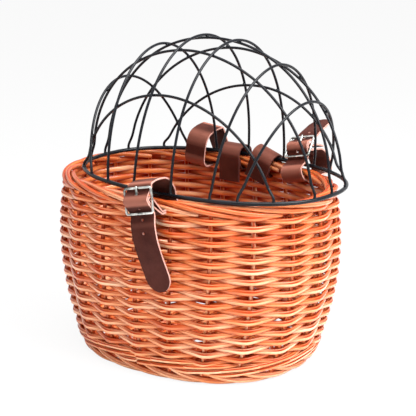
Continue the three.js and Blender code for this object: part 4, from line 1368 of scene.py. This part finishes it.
def solid_object(name, bm, materials):
    mesh = bpy.data.meshes.new(name)
    bm.to_mesh(mesh)
    bm.free()
    for material in materials:
        mesh.materials.append(material)
    return put(name, mesh)


def combined(name, bm, cutters, operation, materials):
    """Cuts or joins two closed meshes."""
    body = solid_object(name + "_body", bm, materials)
    tool = solid_object(name + "_tool", cutters, [materials[min(1, len(materials) - 1)]])
    change = body.modifiers.new("change", "BOOLEAN")
    change.object = tool
    change.operation = operation
    change.solver = "EXACT"
    change.use_self = True
    change.material_mode = "TRANSFER"
    piece = made_plain(body, name)
    bpy.data.objects.remove(tool)
    return piece


prong_back = BUCKLE_THICKNESS / 2 + WIRE_GAP
prong_middle = prong_back + PRONG_THICKNESS / 2
prong_tip = bar_reach + BUCKLE_BAR / 2 + PRONG_OVERHANG
prong_ring = bar_corner + PRONG_LOOP_GAP + PRONG_LOOP_WALL / 2


def sweep(bm, stations, closed, sides=20, squareness=3.0):
    """Sweeps a rounded section. A station is a middle and the section's two half widths as vectors."""
    turns = [i / sides * 2 * math.pi for i in range(sides)]
    corners = [oval_point((1, 1), squareness, turn) for turn in turns]
    rings = [[bm.verts.new(middle + a * c.x + b * c.y) for c in corners] for middle, a, b in stations]
    pairs = list(zip(rings, rings[1:])) + ([(rings[-1], rings[0])] if closed else [])
    for here, after in pairs:
        for j in range(sides):
            k = (j + 1) % sides
            bm.faces.new((here[j], here[k], after[k], after[j])).smooth = True
    if not closed:
        for ring in (rings[0], rings[-1]):
            bm.faces.new(ring)


def frame_loop(strap_width):
    """The frame's outline with round corners, and its middle bar."""
    wide = strap_width / 2 + BUCKLE_SIDE_CLEARANCE + BUCKLE_BAR / 2
    corner = BUCKLE_CORNER - BUCKLE_BAR / 2
    through = Vector((0, BUCKLE_THICKNESS / 2, 0))
    stations = []
    for quarter in range(4):
        middle = (quarter + 0.5) * math.pi / 2
        right = math.copysign(wide - corner, math.cos(middle))
        centre = Vector((right, 0, math.copysign(bar_reach - corner, math.sin(middle))))
        for step in range(CORNER_STEPS + 1):
            turn = (quarter + step / CORNER_STEPS) * math.pi / 2
            ray = Vector((math.cos(turn), 0, math.sin(turn)))
            stations.append((centre + ray * corner, ray * BUCKLE_BAR / 2, through))
    loop, bar = bmesh.new(), bmesh.new()
    sweep(loop, stations, True)
    across, up = Vector((wide, 0, 0)), Vector((0, 0, BUCKLE_BAR / 2))
    shares = [2 * i / BAR_STEPS - 1 for i in range(BAR_STEPS + 1)]
    sweep(bar, [(across * share, up, through) for share in shares], False)
    for bm in (loop, bar):
        bmesh.ops.recalc_face_normals(bm, faces=bm.faces)
    return loop, bar


def prong_strip(facing):
    """A strip bent round the middle bar, whose shank rests on the top bar and thins to its tip."""
    across = Vector((PRONG_WIDTH / 2, 0, 0))
    stations = []
    for step in range(PRONG_LOOP_STEPS + 1):
        turn = math.radians(PRONG_LOOP_TURN * step / PRONG_LOOP_STEPS - PRONG_LOOP_TURN)
        ray = Vector((0, math.cos(turn), math.sin(turn)))
        stations.append((ray * prong_ring, across, ray * PRONG_LOOP_WALL / 2))
    for step in range(1, PRONG_SHANK_STEPS + 1):
        share = step / PRONG_SHANK_STEPS
        thin = 1 - PRONG_THINNING * share**3
        outwards = prong_ring + (prong_middle - prong_ring) * min(1, 3 * share)
        thick = PRONG_LOOP_WALL + (PRONG_THICKNESS - PRONG_LOOP_WALL) * min(1, 2 * share)
        middle = Vector((0, outwards, prong_tip * share))
        stations.append((middle, across * thin, Vector((0, thick / 2 * thin, 0))))
    bm = bmesh.new()
    sweep(bm, stations, False)
    bm.transform(Matrix.Scale(facing, 4, (0, 1, 0)))
    bmesh.ops.recalc_face_normals(bm, faces=bm.faces)
    return bm


def add_buckle(name, strap, buckle):
    place = strap.place @ buckle_place(strap, buckle)
    loop, bar = frame_loop(strap.width)
    piece = combined(f"{name}_frame", loop, bar, "UNION", [nickel])
    piece.data.transform(place)
    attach(piece, "basket")
    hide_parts(f"{name}_buckle_frame")
    prong = prong_strip(strap.side * buckle.front)
    prong.transform(place)
    piece = solid_object(f"{name}_prong", prong, [nickel])
    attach(piece, f"{name}_prong")
    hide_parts(f"{name}_buckle_prong")


def add_strap(name, node, strap, round_end, buckle=None, holes=None, play=0, edge=raw_edge):
    leather = strap_mesh(strap, round_end)
    leather.transform(strap.place)
    materials = [smooth_leather, edge, leather_back]
    if buckle:
        cutters = bmesh.new()
        punch_holes(strap, holes, cutters)
        cut_prong_slots(strap, buckle, play, cutters)
        cutters.transform(strap.place)
        piece = combined(name, leather, cutters, "DIFFERENCE", materials)
    else:
        piece = solid_object(name, leather, materials)
    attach(piece, "basket")
    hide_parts(node)


def add_buckled(name, strap, buckle, holes, play=0):
    add_strap(f"{name}_leather", f"{name}_strap", strap, True, buckle, holes, play)
    add_buckle(name, strap, buckle)


# Closing strap. Its chape holds the front buckle, and its free end goes up inside the basket, over
# the ring and down through the buckle, so that the lid stays shut.
CLOSING_X = 0.041
CLOSING_LEAN = -13
CLOSING_STANDOFF = 0.022
CLOSING_ABOVE_SLIT = 0.022
CLOSING_BUCKLE_TILT = -7
CLOSING_SLACK = 0.020
CLOSING_FOLD_ANGLE = 50
CLOSING_TAIL = 0.114
CLOSING_HOLES = (0.088, 0.0185, 3)
CHAPE_INSIDE = 0.002
CLOSING_ARCH = ((0.07, 0.45), (0.26, 0.92), (0.5, 1.03), (0.82, 1))
CLOSING_TAIL_SHARES = ((-0.16, 0.14), (-0.2, 0.32), (-0.02, 0.55), (0.26, 0.78), (0.5, 1))

closing_outer = outer_face_at(CLOSING_X, CLOSING_STRAP_WIDTH)


def closing_places(buckle, outer):
    ring_inner = ring_half[1] - ring_middle.y - RING_WIRE / 2
    inside = min(inner_face_at(CLOSING_X, CLOSING_STRAP_WIDTH), ring_inner) - LAYER_GAP - 2 * LEATHER
    lower, upper = slit_z - layer_step / 2, slit_z + layer_step / 2
    waling = outer - WALING_THICKNESS
    start = (inside, ring_top)
    behind_top, over_middle, behind_bottom = buckle.thread()
    tail = []
    for inwards, down in CLOSING_TAIL_SHARES:
        up = behind_bottom[1] - down * CLOSING_TAIL
        outwards = behind_bottom[0] - inwards * CLOSING_STANDOFF
        tail.append((max(wall_half(up)[1] + LEATHER, outwards), up))
    return [
        (waling - CHAPE_INSIDE, lower),
        (outer, lower),
        (outer + LEATHER, lower),
        *buckle.fold(CLOSING_FOLD_ANGLE)[::-1],
        (outer + LEATHER / 2, upper),
        (outer, upper),
        (waling - CHAPE_INSIDE, upper),
        (inside + BORDER_CHAMFER + LEATHER, upper),
        (inside, rim_border_bottom + BORDER_CHAMFER),
        (inside, RIM_HEIGHT),
        start,
        *arch(start, behind_top, CLOSING_SLACK, CLOSING_ARCH),
        buckle.place(behind_bar, bar_reach + BUCKLE_BAR),
        behind_top,
        over_middle,
        behind_bottom,
        *tail,
    ]


closing_buckle = Buckle(
    closing_outer + CLOSING_STANDOFF, slit_z + CLOSING_ABOVE_SLIT, CLOSING_BUCKLE_TILT, 1
)
closing_line = closing_places(closing_buckle, closing_outer)
closing = Strap(CLOSING_X, CLOSING_LEAN, -1, closing_line, CLOSING_STRAP_WIDTH)
add_buckled("closing", closing, closing_buckle, CLOSING_HOLES)


# Hinge straps. The free end hangs inside the basket, and the other end comes in through the slit
# and laps behind it, so that the ring turns in a loop of leather.
HINGE_SLACK = 0.002
# How strongly the hinge straps' bends are made lighter, partly painted light.
HINGE_STRETCH_AND_LIGHT = 0.4
HINGE_ARCH = ((0.12, 0.65), (0.38, 0.98), (0.65, 0.98), (0.92, 0.55))


def hinge_strap(name, x, lean, free_end):
    lap = inner_face_at(x) - LAYER_GAP - LEATHER / 2
    inside = lap - 2 * LAYER_GAP - LEATHER
    outside = outer_face_at(x) + LAYER_GAP + LEATHER / 2
    dip = STRAP_WIDTH / 2 * abs(math.sin(math.radians(lean)))
    crest = ring_z + ring_swing(x) + dip + HINGE_SLACK + LEATHER / 2
    start, end = (inside, ring_z), (outside, RIM_HEIGHT)
    places = [
        (inside, slit_z - free_end),
        (inside, slit_z),
        (inside, RIM_HEIGHT - BORDER_CHAMFER),
        start,
        *arch(start, end, crest - ring_z, HINGE_ARCH),
        end,
        (outside, rim_border_bottom + BORDER_CHAMFER),
        (outside - LEATHER, slit_z),
        (outside - WALING_THICKNESS, slit_z),
        (lap + BORDER_CHAMFER, slit_z),
        (lap, rim_border_bottom + BORDER_CHAMFER),
        (lap, RIM_HEIGHT - BORDER_CHAMFER),
    ]
    strap = Strap(x, lean, 1, places, STRAP_WIDTH, HINGE_STRETCH_AND_LIGHT)
    add_strap(f"{name}_leather", name, strap, False, edge=dyed_edge)


hinge_strap("left_hinge_strap", x=-0.035, lean=0, free_end=0.020)
hinge_strap("right_hinge_strap", x=0.016, lean=19, free_end=0.012)


# Handlebar straps. Both come out through the wall, loop round the handlebar behind the rim and are
# buckled: the left one behind the wall, the right one over the rim.
BAR_LOOP_REACH = 0.040
LEANING_WIDTH = 0.046
CHAPE_LENGTH = 0.030
LEFT_BAR_X = -0.094
LEFT_BAR_LEAN = 5
LEFT_BUCKLE_BELOW_SLIT = 0.011
LEFT_TAIL = 0.048
LEFT_ARCH = (
    (0.03, 0.48), (0.12, 0.80), (0.3, 0.98), (0.52, 1.06), (0.58, 1.06), (0.63, 0.95), (0.72, 0.58)
)
BAR_LOOP_SLACK = 0.0015
BAR_HOLES = (0.044, 0.017, 4)
BAR_PLAY = 15


def through_wall(outer, inside):
    """The way in through the wall and up to the rim border."""
    return [
        (outer + LEATHER, slit_z),
        (outer - WALING_THICKNESS, slit_z),
        (inside + BORDER_CHAMFER + LEATHER, slit_z),
        (inside, rim_border_bottom + BORDER_CHAMFER),
    ]


def left_bar_places(buckle, outer):
    swing = ring_swing(LEFT_BAR_X) + LAYER_GAP + LEATHER / 2
    inside = min(inner_face_at(LEFT_BAR_X, LEANING_WIDTH) - LAYER_GAP - LEATHER / 2, hinge_y - swing)
    behind_top, over_middle, behind_bottom = buckle.thread()
    start = (inside, ring_z)
    chape = outer + BAR_LOOP_REACH - CHAPE_LENGTH + fold_radius
    return [
        (chape, slit_z - 2 * layer_step),
        *buckle.fold()[::-1],
        (chape, slit_z - layer_step / 2),
        *through_wall(outer, inside),
        start,
        *arch(start, behind_top, swing + BAR_LOOP_SLACK, LEFT_ARCH),
        behind_top,
        over_middle,
        behind_bottom,
        (behind_bottom[0] - LEATHER, behind_bottom[1] - LEFT_TAIL / 2),
        (behind_bottom[0] - 2 * LEATHER, behind_bottom[1] - LEFT_TAIL),
    ]


left_outer = outer_face_at(LEFT_BAR_X)
left_buckle = Buckle(left_outer + BAR_LOOP_REACH, slit_z - LEFT_BUCKLE_BELOW_SLIT, 0, 1)
left_bar = Strap(LEFT_BAR_X, LEFT_BAR_LEAN, 1, left_bar_places(left_buckle, left_outer))
add_buckled("left_handlebar", left_bar, left_buckle, BAR_HOLES, BAR_PLAY)

RIGHT_BAR_X = 0.094
RIGHT_BAR_LEAN = -12
RIGHT_BUCKLE_TILT = 45
RIGHT_BUCKLE_ABOVE_RING = 0.0256
RIGHT_BUCKLE_BEFORE_HINGE = 0.0005
RIGHT_TAIL_REACH = 0.058
RIGHT_TAIL_RISE = 0.020
RIGHT_TAIL = ((0.3, 0.35), (0.6, 0.62), (1, 1))
RIGHT_LOOP = ((0.35, 0.05), (0.7, 0.15), (0.95, 0.5))
RIGHT_RETURN = ((0.3, 0.8),)


def right_bar_places(buckle, outer):
    inside = inner_face_at(RIGHT_BAR_X, LEANING_WIDTH) - LAYER_GAP - LEATHER / 2
    behind_top, over_middle, behind_bottom = buckle.thread()
    lower_layer = buckle.place(-fold_radius, -fold_radius)
    upper_layer = buckle.place(-fold_radius, fold_radius)
    bend = (outer + BAR_LOOP_REACH, slit_z + fold_radius)
    return [
        (upper_layer[0] + CHAPE_LENGTH, upper_layer[1] - 2 * layer_step),
        (upper_layer[0] + CHAPE_LENGTH / 2, upper_layer[1] - layer_step / 2),
        upper_layer,
        *buckle.fold(),
        lower_layer,
        *arch(lower_layer, bend, bend[1] - lower_layer[1], RIGHT_LOOP),
        bend,
        *arch(bend, (outer, slit_z), slit_z - bend[1], RIGHT_RETURN),
        *through_wall(outer, inside),
        (inside, RIM_HEIGHT),
        behind_bottom,
        over_middle,
        behind_top,
        *arch(behind_top, (behind_top[0] + RIGHT_TAIL_REACH, 0), RIGHT_TAIL_RISE, RIGHT_TAIL),
    ]


right_buckle = Buckle(
    hinge_y - RIGHT_BUCKLE_BEFORE_HINGE, ring_z + RIGHT_BUCKLE_ABOVE_RING, RIGHT_BUCKLE_TILT, -1
)
right_line = right_bar_places(right_buckle, outer_face_at(RIGHT_BAR_X))
right_bar = Strap(RIGHT_BAR_X, RIGHT_BAR_LEAN, 1, right_line)
add_buckled("right_handlebar", right_bar, right_buckle, BAR_HOLES, BAR_PLAY)
